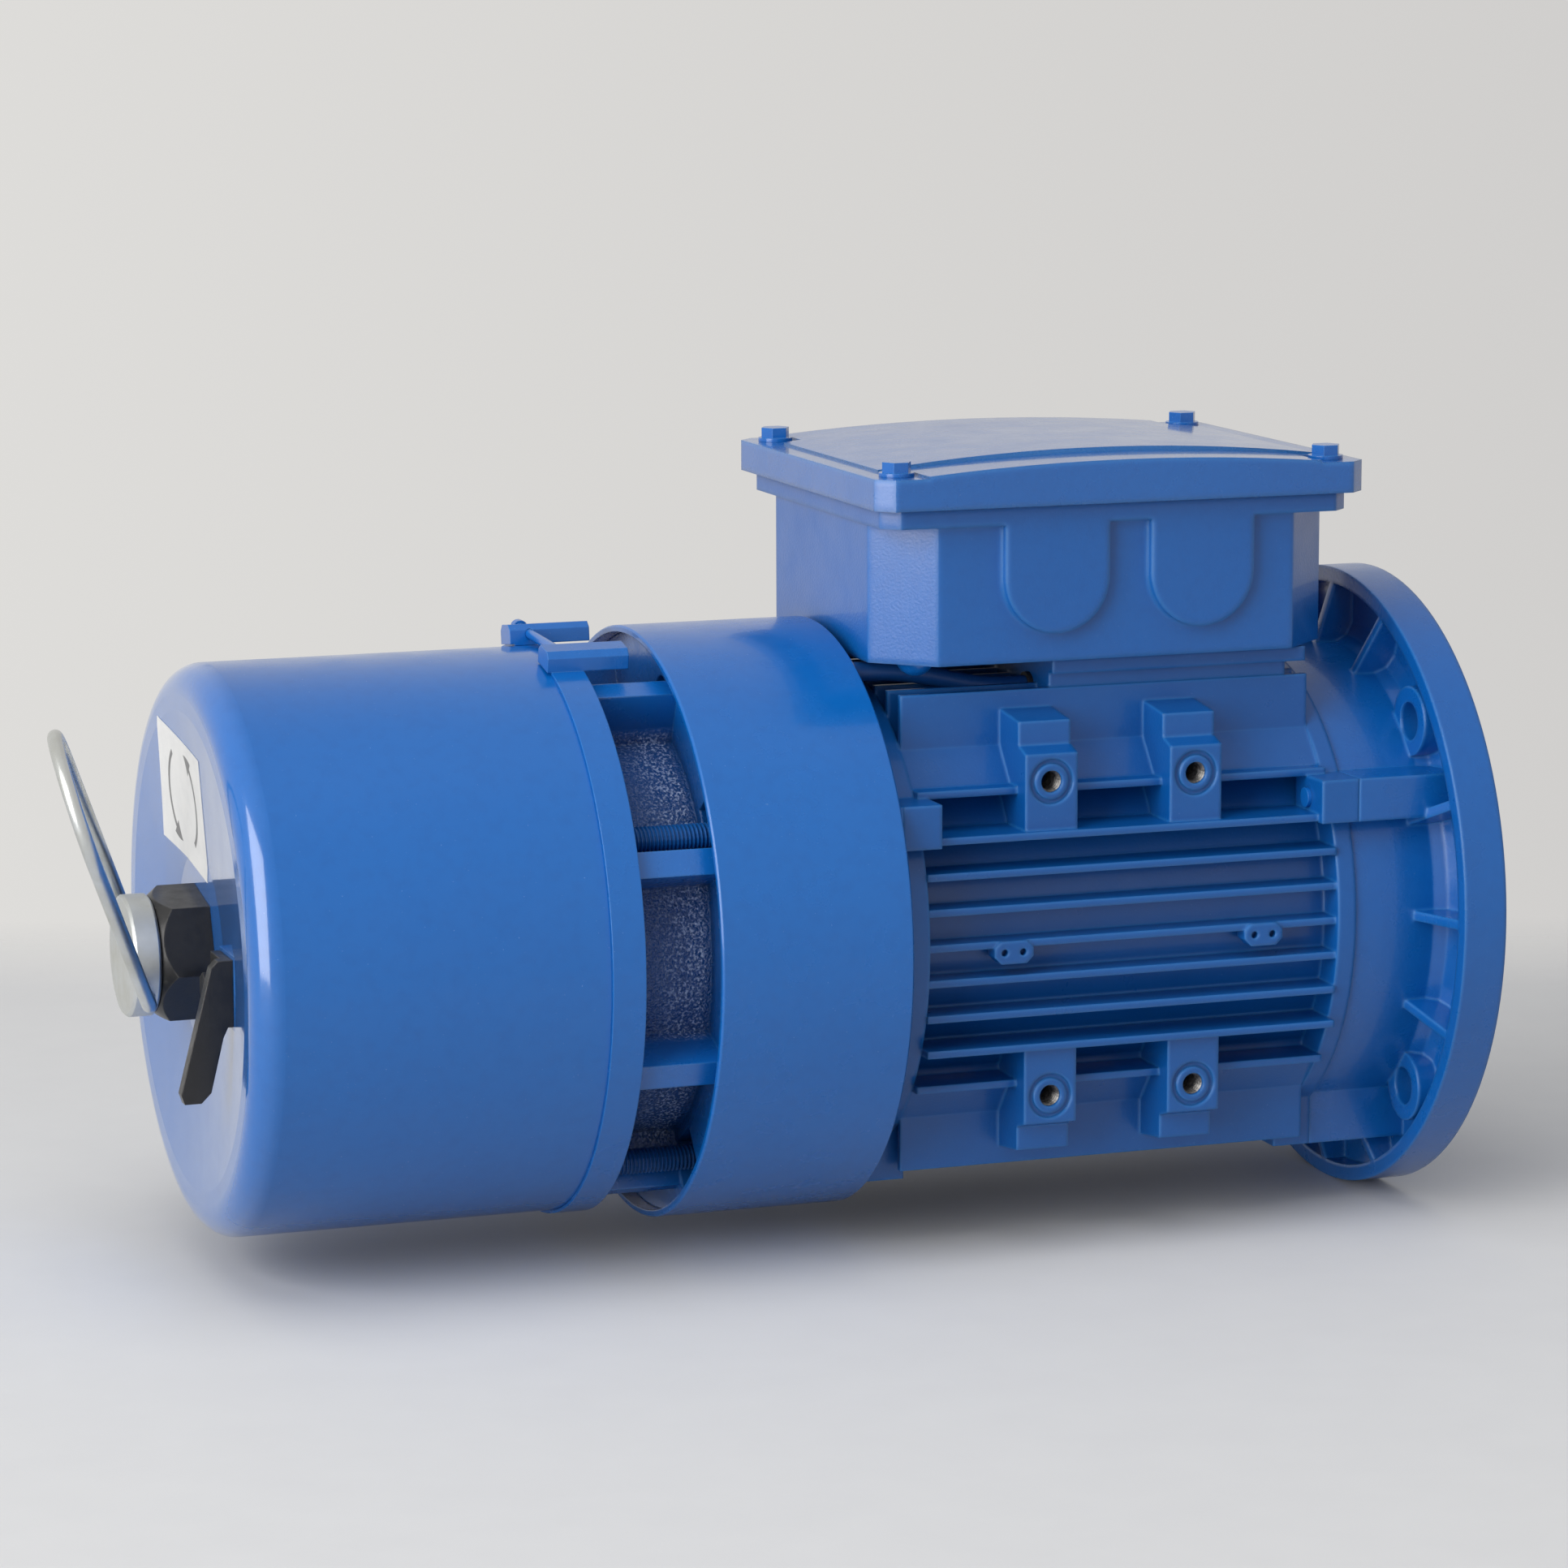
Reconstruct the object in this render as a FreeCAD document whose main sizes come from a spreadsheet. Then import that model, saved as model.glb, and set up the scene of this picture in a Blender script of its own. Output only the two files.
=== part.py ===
import FreeCAD, Part
import math
import os
import types

import Sketcher

# Brake motor. X runs along the shaft, with the drive end at +X and the brake at -X.
# The origin is the centre of the flange's mounting face, and +Z is up, through the terminal box.
# Lengths are millimetres and angles are degrees.

SIZES = {
    # Clearances
    "fit_gap": 0.05,
    "run_gap": 0.3,
    # Flange end shield
    "flange_r": 100,
    "flange_depth": 14,
    "rim_wall": 5,
    "web_t": 7,
    "spigot_r": 65,
    "spigot_len": 3.5,
    "face_recess_r": 54,
    "face_recess_depth": 6,
    "flange_bolt_inset": 17.5,
    "flange_hole_r": 6,
    "flange_boss_r": 11,
    "flange_rib_t": 3,
    "flange_rib_rise": 21,
    "shield_len": 40,
    "bell_r": 76,
    "bell_wall": 7,
    "bell_flare": 6,
    "shield_hub_r": 30,
    "register_r": 66,
    "register_len": 4,
    "register_wall": 3.5,
    # Corner lugs, their bolts and the tie studs
    "tie_r": 77,
    "tie_angle": 29.5,
    "lug_w": 13.4,
    "lug_room": 11,
    "lug_root": 58,
    "frame_lug_len": 12.4,
    "frame_bolt_r": 3,
    "frame_bolt_head_r": 5,
    "frame_bolt_head": 6,
    "frame_bolt_sink": 6.5,
    "frame_bolt_tip": 1.2,
    "stud_r": 4,
    "stud_overhang": 2,
    "tie_nut_flats": 13,
    "tie_nut_t": 6.5,
    # Finned stator frame
    "frame_len": 150,
    "bore_r": 60,
    "barrel_r": 66.5,
    "ring_r": 77,
    "front_ring_len": 6,
    "rear_ring_len": 9,
    "fin_tip_t": 2.2,
    "fin_root_t": 3.6,
    "side_fin_reach": 75,
    "side_fin_pitch": 10.9,
    "side_fin_count": 7,
    "top_fin_reach": 74,
    "top_fin_pitch": 11.1,
    "top_fin_count": 10,
    "shelf_z": 45.5,
    "shelf_reach": 66,
    "shoulder_z": 58.7,
    "shoulder_reach": 61,
    "pad_mid": 116.3,
    "pad_pitch": 47.5,
    "pad_w": 17,
    "pad_face": 72.5,
    "pad_z": 48.7,
    "pad_below": 15,
    "pad_above": 8.5,
    "pad_step_face": 66.5,
    "pad_step_z": 66.5,
    "pad_hole_r": 3.4,
    "pad_hole_depth": 15,
    "pad_ring_r": 7,
    "pad_ring_in_r": 5.4,
    "pad_ring_depth": 1.1,
    "rivet_boss_w": 12.6,
    "rivet_boss_tall": 7,
    "rivet_boss_corner": 2.2,
    "rivet_boss_reach": 76,
    "rivet_boss_depth": 6,
    "rivet_boss_front": 70.8,
    "rivet_boss_pitch": 82.6,
    "rivet_boss_drop": 2.5,
    "rivet_hole_r": 1.1,
    "rivet_hole_pitch": 6,
    "rivet_hole_depth": 3,
    # Pedestal under the terminal box
    "pedestal_front": 53,
    "pedestal_len": 79,
    "pedestal_half_w": 50,
    "pedestal_root": 44,
    "pedestal_top": 83,
    "pedestal_wall": 6,
    "pedestal_floor": 68,
    "pedestal_corner": 15,
    "pedestal_lip": 3,
    "pedestal_lip_front": 5.5,
    "pedestal_lip_t": 4.5,
    "lead_slot_len": 12,
    "lead_slot_half_w": 15,
    # Shaft and bearings
    "shaft_end_r": 9.5,
    "shaft_end_len": 40,
    "keyway_w": 6,
    "keyway_depth": 3.5,
    "keyway_len": 30,
    "keyway_end_gap": 5,
    "shaft_body_r": 13,
    "shaft_tail_r": 9,
    "bearing_bore_r": 10,
    "bearing_out_r": 23.5,
    "bearing_w": 14,
    "bearing_setback": 20,
    "rear_bearing_setback": 2,
    "inner_ring_r": 14,
    "outer_ring_in_r": 19.5,
    "ball_r": 3.6,
    "ball_circle_r": 16.75,
    "ball_count": 8,
    "cage_t": 1.6,
    "cage_w": 9.6,
    "wave_spring_t": 2,
    "wave_spring_w": 3,
    "seal_r": 17.5,
    "seal_len": 7,
    # Stator and rotor
    "core_front_gap": 35,
    "core_rear_gap": 25,
    "rotor_r": 37,
    "air_gap": 0.4,
    "slot_count": 24,
    "slot_w": 5,
    "slot_depth": 12.5,
    "slot_liner": 0.2,
    "winding_len": 18,
    "winding_out_r": 56,
    "winding_in_r": 40,
    "bar_count": 14,
    "bar_w": 4,
    "bar_depth": 8,
    "bar_cover": 1,
    "end_ring_len": 9,
    "end_ring_in_r": 22,
    # Rear end shield
    "rear_shield_t": 10,
    "rear_shield_r": 75,
    "rear_hub_r": 31,
    "rear_hub_wall": 3,
    "shaft_clear": 2.5,
    # Fan and cowl
    "fan_r": 63,
    "fan_hub_r": 16,
    "fan_setback": 3,
    "fan_len": 24,
    "fan_disc_t": 2.5,
    "fan_blade_t": 2.6,
    "fan_blade_count": 8,
    "fan_eye_r": 30,
    "circlip_t": 1.5,
    "circlip_w": 3,
    "cowl_room": 14.9,
    "cowl_t": 2,
    "cowl_len": 60.2,
    "cowl_setback": 1.6,
    # Ribbed brake bracket
    "open_gap": 22.4,
    "bracket_disc_t": 6,
    "bracket_disc_inset": 4.8,
    "drum_r": 67,
    "drum_wall": 7,
    "bracket_rib_set_in": 1.2,
    "bracket_rib_w": 8,
    "bracket_rib_count": 8,
    "bracket_rib_angle": 22.5,
    "bracket_leg_room": 7,
    "seat_gap": 0.3,
    "seat_lip": 1,
    "window_in_room": 6,
    "window_out_room": 9,
    "window_low": 25.8,
    "window_high": 38,
    "bracket_bore_r": 16,
    # Clamp band
    "band_w": 10.2,
    "band_t": 1,
    "band_split_angle": 87.5,
    "band_split": 19.5,
    "band_lug_w": 10,
    "band_lug_tall": 5.5,
    "band_lug_len": 25.5,
    "band_lug_overhang": 1.4,
    "band_lug_chamfer": 1.8,
    "clamp_screw_r": 1.5,
    "clamp_head_r": 2.4,
    "clamp_head_t": 3,
    # Brake cover and seal
    "cover_room": 10,
    "cover_t": 1.5,
    "cover_len": 115.8,
    "cover_rim_gap": 1.5,
    "cover_corner_r": 9,
    "cover_dish": 4.2,
    "cover_dish_r": 73,
    "cover_dish_in_r": 30,
    "cover_seal_w": 2,
    "cover_seal_t": 3,
    # Disc brake
    "friction_plate_t": 2.5,
    "friction_plate_r": 68,
    "friction_plate_in_r": 26,
    "friction_disc_t": 10,
    "friction_disc_r": 54,
    "lining_t": 3,
    "lining_in_r": 32,
    "disc_gap": 0.2,
    "armature_t": 9,
    "armature_r": 70,
    "armature_in_r": 24,
    "magnet_gap": 0.6,
    "magnet_t": 44,
    "magnet_r": 76,
    "magnet_in_r": 18,
    "coil_in_r": 34,
    "coil_out_r": 54,
    "coil_depth": 26,
    "brake_screw_circle_r": 62,
    "brake_screw_r": 3,
    "brake_screw_count": 3,
    "brake_screw_flats": 10,
    "brake_screw_head": 5,
    "brake_screw_grip": 8,
    "sleeve_r": 4.8,
    "spring_circle_r": 26,
    "spring_count": 6,
    "spring_r": 3.4,
    "spring_wall": 0.9,
    "spring_depth": 20,
    "hub_half": 15,
    "hub_len": 12,
    "hub_setback": 1.5,
    "hub_gap": 0.15,
    "dust_ring_r": 14.5,
    "dust_ring_len": 6,
    # Hand release
    "pull_pin_circle_r": 62,
    "pull_pin_r": 3,
    "pull_pin_clear": 0.4,
    "pull_pin_angle": 0,
    "yoke_gap": 4.6,
    "yoke_t": 6,
    "yoke_half_w": 12,
    "yoke_end": 8,
    "yoke_hub_r": 20,
    "spindle_r": 7,
    "spindle_gap": 0.08,
    "cam_r": 13,
    "cam_t": 3,
    "bush_flats": 36,
    "bush_t": 15.7,
    "bush_turn": 40,
    "bush_neck_r": 13,
    "bush_neck_len": 14,
    "knob_r": 18.5,
    "knob_len": 8.2,
    "knob_chamfer": 0.8,
    "bail_wire_r": 2.25,
    "bail_half_w": 23.6,
    "bail_len": 87,
    "bail_bend_r": 3.5,
    "bail_grip": 10,
    "bail_hole_gap": 0.08,
    "bail_turn": -56.9,
    "bail_fold": 69.5,
    # Catch plate beside the release
    "catch_y": 50,
    "catch_t": 4,
    "catch_top": 7,
    "catch_root": 13,
    "catch_drop": 35.2,
    "catch_lean": 16.2,
    "catch_finger_w": 9,
    "catch_base": 6.6,
    "catch_foot_len": 14,
    "catch_foot_t": 3,
    "catch_seat_rise": 2.4,
    "catch_seat_edge": 1.2,
    "catch_screw_r": 2.5,
    "catch_screw_flats": 8,
    "catch_screw_head": 3.5,
    "catch_screw_len": 8,
    # Terminal box
    "box_front": 38.3,
    "box_len": 150,
    "box_half_w": 59,
    "box_bottom": 83.5,
    "box_wall_top": 126,
    "box_top": 131.5,
    "box_wall": 4,
    "box_floor_t": 4,
    "box_corner": 16.5,
    "rim_overhang": 3,
    "rim_end_overhang": 1.5,
    "rim_corner": 5,
    "entry_pad_w": 34,
    "entry_pad_low": 92.4,
    "entry_pad_shift": 3.2,
    "entry_pad_pitch": 47.8,
    "box_screw_r": 2.5,
    "box_screw_head_r": 4.5,
    "box_screw_head": 3.5,
    "box_screw_len": 8.5,
    "box_screw_inset": 7,
    # Lid
    "lid_gasket_t": 0.5,
    "lid_overhang": 8,
    "lid_end_overhang": 5,
    "lid_t": 9.6,
    "lid_corner": 5,
    "lid_wall": 3.5,
    "crown_rise": 3.6,
    "crown_inset": 8,
    "panel_half_w": 43.4,
    "panel_proud": 1.4,
    "lid_screw_end_inset": 4.35,
    "lid_screw_side_inset": 3.4,
    "lid_screw_r": 2.5,
    "lid_screw_flats": 8,
    "lid_screw_head": 4.4,
    "lid_screw_flange_r": 5.4,
    "lid_screw_flange_t": 1.2,
    # Inside the terminal box
    "board_len": 58,
    "board_half_w": 22,
    "board_t": 14,
    "terminal_pitch": 18,
    "terminal_row": 10,
    "terminal_r": 2,
    "terminal_len": 14,
    "terminal_nut_flats": 7,
    "terminal_nut_t": 3.2,
    "link_t": 0.8,
    "link_w": 8,
    "link_end": 4,
    "rectifier_end_gap": 10.3,
    "rectifier_len": 26,
    "rectifier_half_w": 26,
    "rectifier_t": 18,
    # Plug and lead under the box
    "plug_end_gap": 14.3,
    "plug_side_gap": 14,
    "plug_r": 6,
    "plug_thread_r": 4,
    "plug_dome": 4.5,
    "lead_r": 3,
    "grommet_r": 4.15,
    "grommet_lip": 0.6,
    "grommet_lip_t": 1.5,
}

# Sheet of driving sizes

doc = FreeCAD.newDocument("brake_motor")
sheet = doc.addObject("Spreadsheet::Sheet", "dims")
for row, (alias, number) in enumerate(SIZES.items(), start=1):
    sheet.set(f"A{row}", alias)
    sheet.set(f"B{row}", str(number))
    sheet.setAlias(f"B{row}", alias)
doc.recompute()


class Size:
    """A number that also carries the sheet expression that it comes from."""

    def __init__(self, value, text):
        self.value = value
        self.text = text

    @staticmethod
    def of(thing):
        return thing if isinstance(thing, Size) else Size(thing, f"({thing})")

    def __add__(self, other):
        other = Size.of(other)
        return Size(self.value + other.value, f"({self.text} + {other.text})")

    def __sub__(self, other):
        other = Size.of(other)
        return Size(self.value - other.value, f"({self.text} - {other.text})")

    def __mul__(self, other):
        other = Size.of(other)
        return Size(self.value * other.value, f"({self.text} * {other.text})")

    def __truediv__(self, other):
        other = Size.of(other)
        return Size(self.value / other.value, f"({self.text} / {other.text})")

    def __radd__(self, other):
        return Size.of(other) + self

    def __rsub__(self, other):
        return Size.of(other) - self

    def __rmul__(self, other):
        return Size.of(other) * self

    def __neg__(self):
        return Size(-self.value, f"(-{self.text})")


def cos(angle):
    angle = Size.of(angle)
    return Size(math.cos(math.radians(angle.value)), f"cos({angle.text})")


def sin(angle):
    angle = Size.of(angle)
    return Size(math.sin(math.radians(angle.value)), f"sin({angle.text})")


def sqrt(number):
    number = Size.of(number)
    return Size(math.sqrt(number.value), f"sqrt({number.text})")


d = types.SimpleNamespace(**{alias: Size(float(sheet.get(alias)), f"dims.{alias}") for alias in SIZES})
nodes = []
Vector = FreeCAD.Vector
SIDES = (-1, 1)
QUARTERS = (0, 90, 180, 270)

# Places along the motor axis, from the flange face towards the brake

frame_front = -d.shield_len
frame_rear = frame_front - d.frame_len
fin_rear = frame_rear + d.rear_ring_len
fin_len = d.frame_len - d.rear_ring_len - d.front_ring_len
core_front = frame_front - d.core_front_gap
core_rear = frame_rear + d.core_rear_gap
core_len = core_front - core_rear
front_bearing_rear = -d.bearing_setback - d.bearing_w
rear_bearing_front = frame_rear - d.rear_bearing_setback
rear_bearing_rear = rear_bearing_front - d.bearing_w
rear_hub_back = rear_bearing_rear - d.wave_spring_t - d.rear_hub_wall
rear_shield_back = frame_rear - d.rear_shield_t
cowl_front = frame_rear - d.cowl_setback
cowl_rear = cowl_front - d.cowl_len
disc_rear = cowl_rear + d.bracket_disc_inset
disc_front = disc_rear + d.bracket_disc_t
fan_front = rear_hub_back - d.fan_setback
fan_rear = fan_front - d.fan_len
band_front = cowl_rear - d.open_gap
band_rear = band_front - d.band_w
seat_front = band_front - d.seat_lip
bracket_rear = band_rear
cover_rim = band_front - d.cover_rim_gap
cover_face = cover_rim - d.cover_len
dish_face = cover_face + d.cover_dish
friction_plate_rear = bracket_rear - d.friction_plate_t
friction_disc_front = friction_plate_rear - d.disc_gap
friction_disc_rear = friction_disc_front - d.friction_disc_t
armature_front = friction_disc_rear - d.disc_gap
armature_rear = armature_front - d.armature_t
magnet_front = armature_rear - d.magnet_gap
magnet_rear = magnet_front - d.magnet_t
yoke_front = magnet_rear - d.yoke_gap
yoke_rear = yoke_front - d.yoke_t
hub_front = bracket_rear - d.hub_setback
hub_rear = hub_front - d.hub_len
shaft_tail = hub_rear - 2 * d.circlip_t
bush_rear = dish_face - d.bush_t
catch_seat = dish_face - d.catch_seat_rise
knob_front = bush_rear - d.run_gap
knob_rear = knob_front - d.knob_len
bail_pivot = (knob_front + knob_rear) / 2

# Places across the motor axis

tie_y = d.tie_r * cos(d.tie_angle)
tie_z = d.tie_r * sin(d.tie_angle)
stator_in_r = d.rotor_r + d.air_gap
lug_reach = tie_y + d.lug_room
bolt_circle_r = d.flange_r - d.flange_bolt_inset
cover_r = d.tie_r + d.cover_room
cover_in_r = cover_r - d.cover_t
seat_r = cover_in_r - d.seat_gap
bracket_rib_r = seat_r - d.bracket_rib_set_in
cowl_r = d.tie_r + d.cowl_room
cowl_in_r = cowl_r - d.cowl_t
box_rear = -d.box_front - d.box_len
box_mid = -d.box_front - d.box_len / 2
lid_bottom = d.box_top + d.lid_gasket_t
lid_top = lid_bottom + d.lid_t
floor_top = d.box_bottom + d.box_floor_t
pedestal_rear = -d.pedestal_front - d.pedestal_len
plug_x = box_rear + d.plug_end_gap
plug_y = d.plug_side_gap - d.box_half_w
lead_y = d.top_fin_pitch * 3
lead_wall_z = d.pedestal_floor + d.grommet_r - d.grommet_lip + 1


# Helpers: ties between properties and sizes


def tie(thing, prop, size):
    """Bind one property to a formula over the sheet."""
    thing.setExpression(prop, Size.of(size).text)


def value(size):
    return Size.of(size).value


def node(name, thing):
    """Name the finished piece."""
    thing.Label = name
    nodes.append(thing)
    return thing


# Helpers: sketches and features of a body


def draft(name):
    """A body that is only a step towards a piece, and may hold several solids."""
    part = doc.addObject("PartDesign::Body", name)
    part.AllowCompound = True
    return part


def body(name):
    return node(name, doc.addObject("PartDesign::Body", name))


def origin_feature(part, role):
    return next(f for f in part.Origin.OriginFeatures if f.Role == role)


def sketch(part, plane, offset=0, tilt=0):
    """Start a sketch on an origin plane, moved along its normal and tilted about its own X."""
    drawn = part.newObject("Sketcher::SketchObject", part.Name + "_sketch")
    drawn.AttachmentSupport = (origin_feature(part, plane), [""])
    drawn.MapMode = "FlatFace"
    drawn.AttachmentOffset = FreeCAD.Placement(Vector(), FreeCAD.Rotation(Vector(1, 0, 0), tilt))
    tie(drawn, "AttachmentOffset.Base.z", offset)
    return drawn


def fix_point(drawn, geometry, point, u, v):
    """Hold one point of the sketch at a pair of formulas."""
    for kind, size in (("DistanceX", u), ("DistanceY", v)):
        index = drawn.addConstraint(Sketcher.Constraint(kind, -1, 1, geometry, point, value(size)))
        if isinstance(size, Size):
            tie(drawn, f"Constraints[{index}]", size)


def polygon(drawn, corners):
    """Draw a closed outline of straight lines through the corners."""
    first = drawn.GeometryCount
    count = len(corners)
    points = [Vector(value(u), value(v), 0) for u, v in corners]
    lines = [Part.LineSegment(points[i], points[(i + 1) % count]) for i in range(count)]
    drawn.addGeometry(lines, False)
    joints = [
        Sketcher.Constraint("Coincident", first + i, 2, first + (i + 1) % count, 1)
        for i in range(count)
    ]
    drawn.addConstraint(joints)
    for i, (u, v) in enumerate(corners):
        fix_point(drawn, first + i, 1, u, v)
    return drawn


def rectangle(drawn, u0, v0, u1, v1):
    return polygon(drawn, [(u0, v0), (u1, v0), (u1, v1), (u0, v1)])


def octagon(drawn, u0, v0, u1, v1, corner):
    """Draw a rectangle with chamfered corners."""
    return polygon(drawn, [
        (u0 + corner, v0), (u1 - corner, v0), (u1, v0 + corner), (u1, v1 - corner),
        (u1 - corner, v1), (u0 + corner, v1), (u0, v1 - corner), (u0, v0 + corner),
    ])


def circle(drawn, u, v, radius):
    centre = Vector(value(u), value(v), 0)
    index = drawn.addGeometry(Part.Circle(centre, Vector(0, 0, 1), value(radius)), False)
    fix_point(drawn, index, 3, u, v)
    held = drawn.addConstraint(Sketcher.Constraint("Radius", index, value(radius)))
    tie(drawn, f"Constraints[{held}]", radius)
    return drawn


def arch(drawn, u0, u1, low, spring, rise):
    """Draw a flat-bottomed outline whose top is one arc, rise above its ends."""
    half = (u1 - u0) / 2
    radius = (half * half + rise * rise) / (2 * rise)
    corners = [(u1, spring), (u0, spring), (u0, low), (u1, low)]
    points = [Vector(value(u), value(v), 0) for u, v in corners]
    crown = Vector(value(u0 + half), value(spring + rise), 0)
    drawn.addGeometry([Part.Arc(points[0], crown, points[1])], False)
    drawn.addGeometry([Part.LineSegment(points[i], points[(i + 1) % 4]) for i in (1, 2, 3)], False)
    joints = [Sketcher.Constraint("Coincident", i, 2, (i + 1) % 4, 1) for i in range(4)]
    drawn.addConstraint(joints)
    for i in (1, 2, 3):
        fix_point(drawn, i, 1, *corners[i])
    fix_point(drawn, 3, 2, *corners[0])
    held = drawn.addConstraint(Sketcher.Constraint("Radius", 0, value(radius)))
    tie(drawn, f"Constraints[{held}]", radius)
    return drawn


def feature(part, kind, profile):
    made = part.newObject("PartDesign::" + kind, part.Name + "_" + kind.lower())
    made.Profile = (profile, [""])
    return made


def pad(part, profile, length, symmetric=False):
    """Add material along the sketch's normal."""
    made = feature(part, "Pad", profile)
    made.SideType = "Symmetric" if symmetric else "One side"
    tie(made, "Length", length)
    return made


def pocket(part, profile, length, against=False):
    """Cut along the sketch's normal, or against it."""
    made = feature(part, "Pocket", profile)
    made.Reversed = not against
    tie(made, "Length", length)
    return made


def revolve(part, corners):
    """Turn a closed outline of (X, radius) corners about the motor axis."""
    drawn = polygon(sketch(part, "XY_Plane"), corners)
    made = feature(part, "Revolution", drawn)
    made.ReferenceAxis = (drawn, ["H_Axis"])
    made.Angle = 360
    return made


def polar(part, original, count):
    """Repeat a feature evenly about the motor axis."""
    made = part.newObject("PartDesign::PolarPattern", part.Name + "_polar")
    made.Originals = [original]
    made.Axis = (origin_feature(part, "X_Axis"), [""])
    made.Angle = 360
    tie(made, "Occurrences", count)
    part.Tip = made
    return made


def row_of(part, original, direction, pitch, count):
    """Repeat a feature in a straight row along a sketch axis."""
    made = part.newObject("PartDesign::LinearPattern", part.Name + "_row")
    made.Originals = [original]
    made.Direction = (original.Profile[0], [direction])
    tie(made, "Length", pitch * (count - 1))
    tie(made, "Occurrences", count)
    part.Tip = made
    return made


def dress_edges(part, kind, size, chosen):
    """Round or chamfer the edges of the body that the test picks."""
    doc.recompute()
    base = part.Tip
    names = [f"Edge{i}" for i, edge in enumerate(base.Shape.Edges, start=1) if chosen(edge)]
    made = part.newObject("PartDesign::" + kind, part.Name + "_" + kind.lower())
    made.Base = (base, names)
    tie(made, "Radius" if kind == "Fillet" else "Size", size)
    return made


def ring_body(name, start, length, outer, inner):
    """A plain turned ring as a body."""
    part = body(name)
    drawn = sketch(part, "YZ_Plane", start)
    circle(drawn, 0, 0, outer)
    circle(drawn, 0, 0, inner)
    pad(part, drawn, length)
    return part


def tie_circles(drawn, radius):
    """Draw one circle at each of the four tie places."""
    for turn in QUARTERS:
        y, z = turned(-tie_y, tie_z, turn)
        circle(drawn, y, z, radius)
    return drawn


def turned(y, z, turn):
    """Turn a place about the motor axis by a number of quarters."""
    places = {0: (y, z), 90: (-z, y), 180: (-y, -z), 270: (z, -y)}
    return places[turn]


# Helpers: primitives and booleans

AXES = {
    "X": FreeCAD.Rotation(Vector(0, 1, 0), 90),
    "Y": FreeCAD.Rotation(Vector(1, 0, 0), -90),
    "Z": FreeCAD.Rotation(),
}


def place(thing, base, rotation):
    thing.Placement = FreeCAD.Placement(Vector(), rotation)
    for axis, size in zip("xyz", base):
        tie(thing, "Placement.Base." + axis, size)


def rod(name, base, length, radius, axis="X"):
    made = doc.addObject("Part::Cylinder", name + "_rod")
    place(made, base, AXES[axis])
    tie(made, "Radius", radius)
    tie(made, "Height", length)
    return made


def hex_bar(name, base, length, flats, axis="X", turn=0):
    made = doc.addObject("Part::Prism", name + "_hex")
    made.Polygon = 6
    place(made, base, FreeCAD.Rotation(Vector(1, 0, 0), value(turn)).multiply(AXES[axis]))
    tie(made, "Circumradius", flats / math.sqrt(3))
    tie(made, "Height", length)
    return made


def block(name, base, length, width, height):
    made = doc.addObject("Part::Box", name + "_block")
    place(made, base, AXES["Z"])
    tie(made, "Length", length)
    tie(made, "Width", width)
    tie(made, "Height", height)
    return made


def ball(name, base, radius):
    made = doc.addObject("Part::Sphere", name + "_ball")
    place(made, base, AXES["Z"])
    tie(made, "Radius", radius)
    return made


def fuse(name, pieces):
    made = doc.addObject("Part::MultiFuse", name + "_fuse")
    made.Shapes = pieces
    made.Refine = True
    return made


def cut(name, base, tool):
    made = doc.addObject("Part::Cut", name + "_cut")
    made.Base = base
    made.Tool = tool
    return made


def tube(name, base, length, outer, inner, axis="X"):
    return cut(name, rod(name, base, length, outer, axis), rod(name, base, length, inner, axis))


def group(name, pieces):
    """Like pieces that share a node, each its own solid."""
    made = doc.addObject("Part::Compound", name + "_group")
    made.Links = pieces
    return node(name, made)


def around(circle_r, count, start=0):
    """Places spread evenly on a circle about the motor axis."""
    steps = int(round(value(count)))
    for i in range(steps):
        angle = Size.of(start) + 360 * i / steps
        yield circle_r * cos(angle), circle_r * sin(angle)


# Flange end shield: one casting with bell, ribbed flange, bolt bosses and bearing hub


def lug_outline(drawn, turn=0):
    low = tie_z - d.lug_w / 2
    high = tie_z + d.lug_w / 2
    corners = [(-lug_reach, low), (-d.lug_root, low), (-d.lug_root, high), (-lug_reach, high)]
    return polygon(drawn, [turned(y, z, turn) for y, z in corners])


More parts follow.
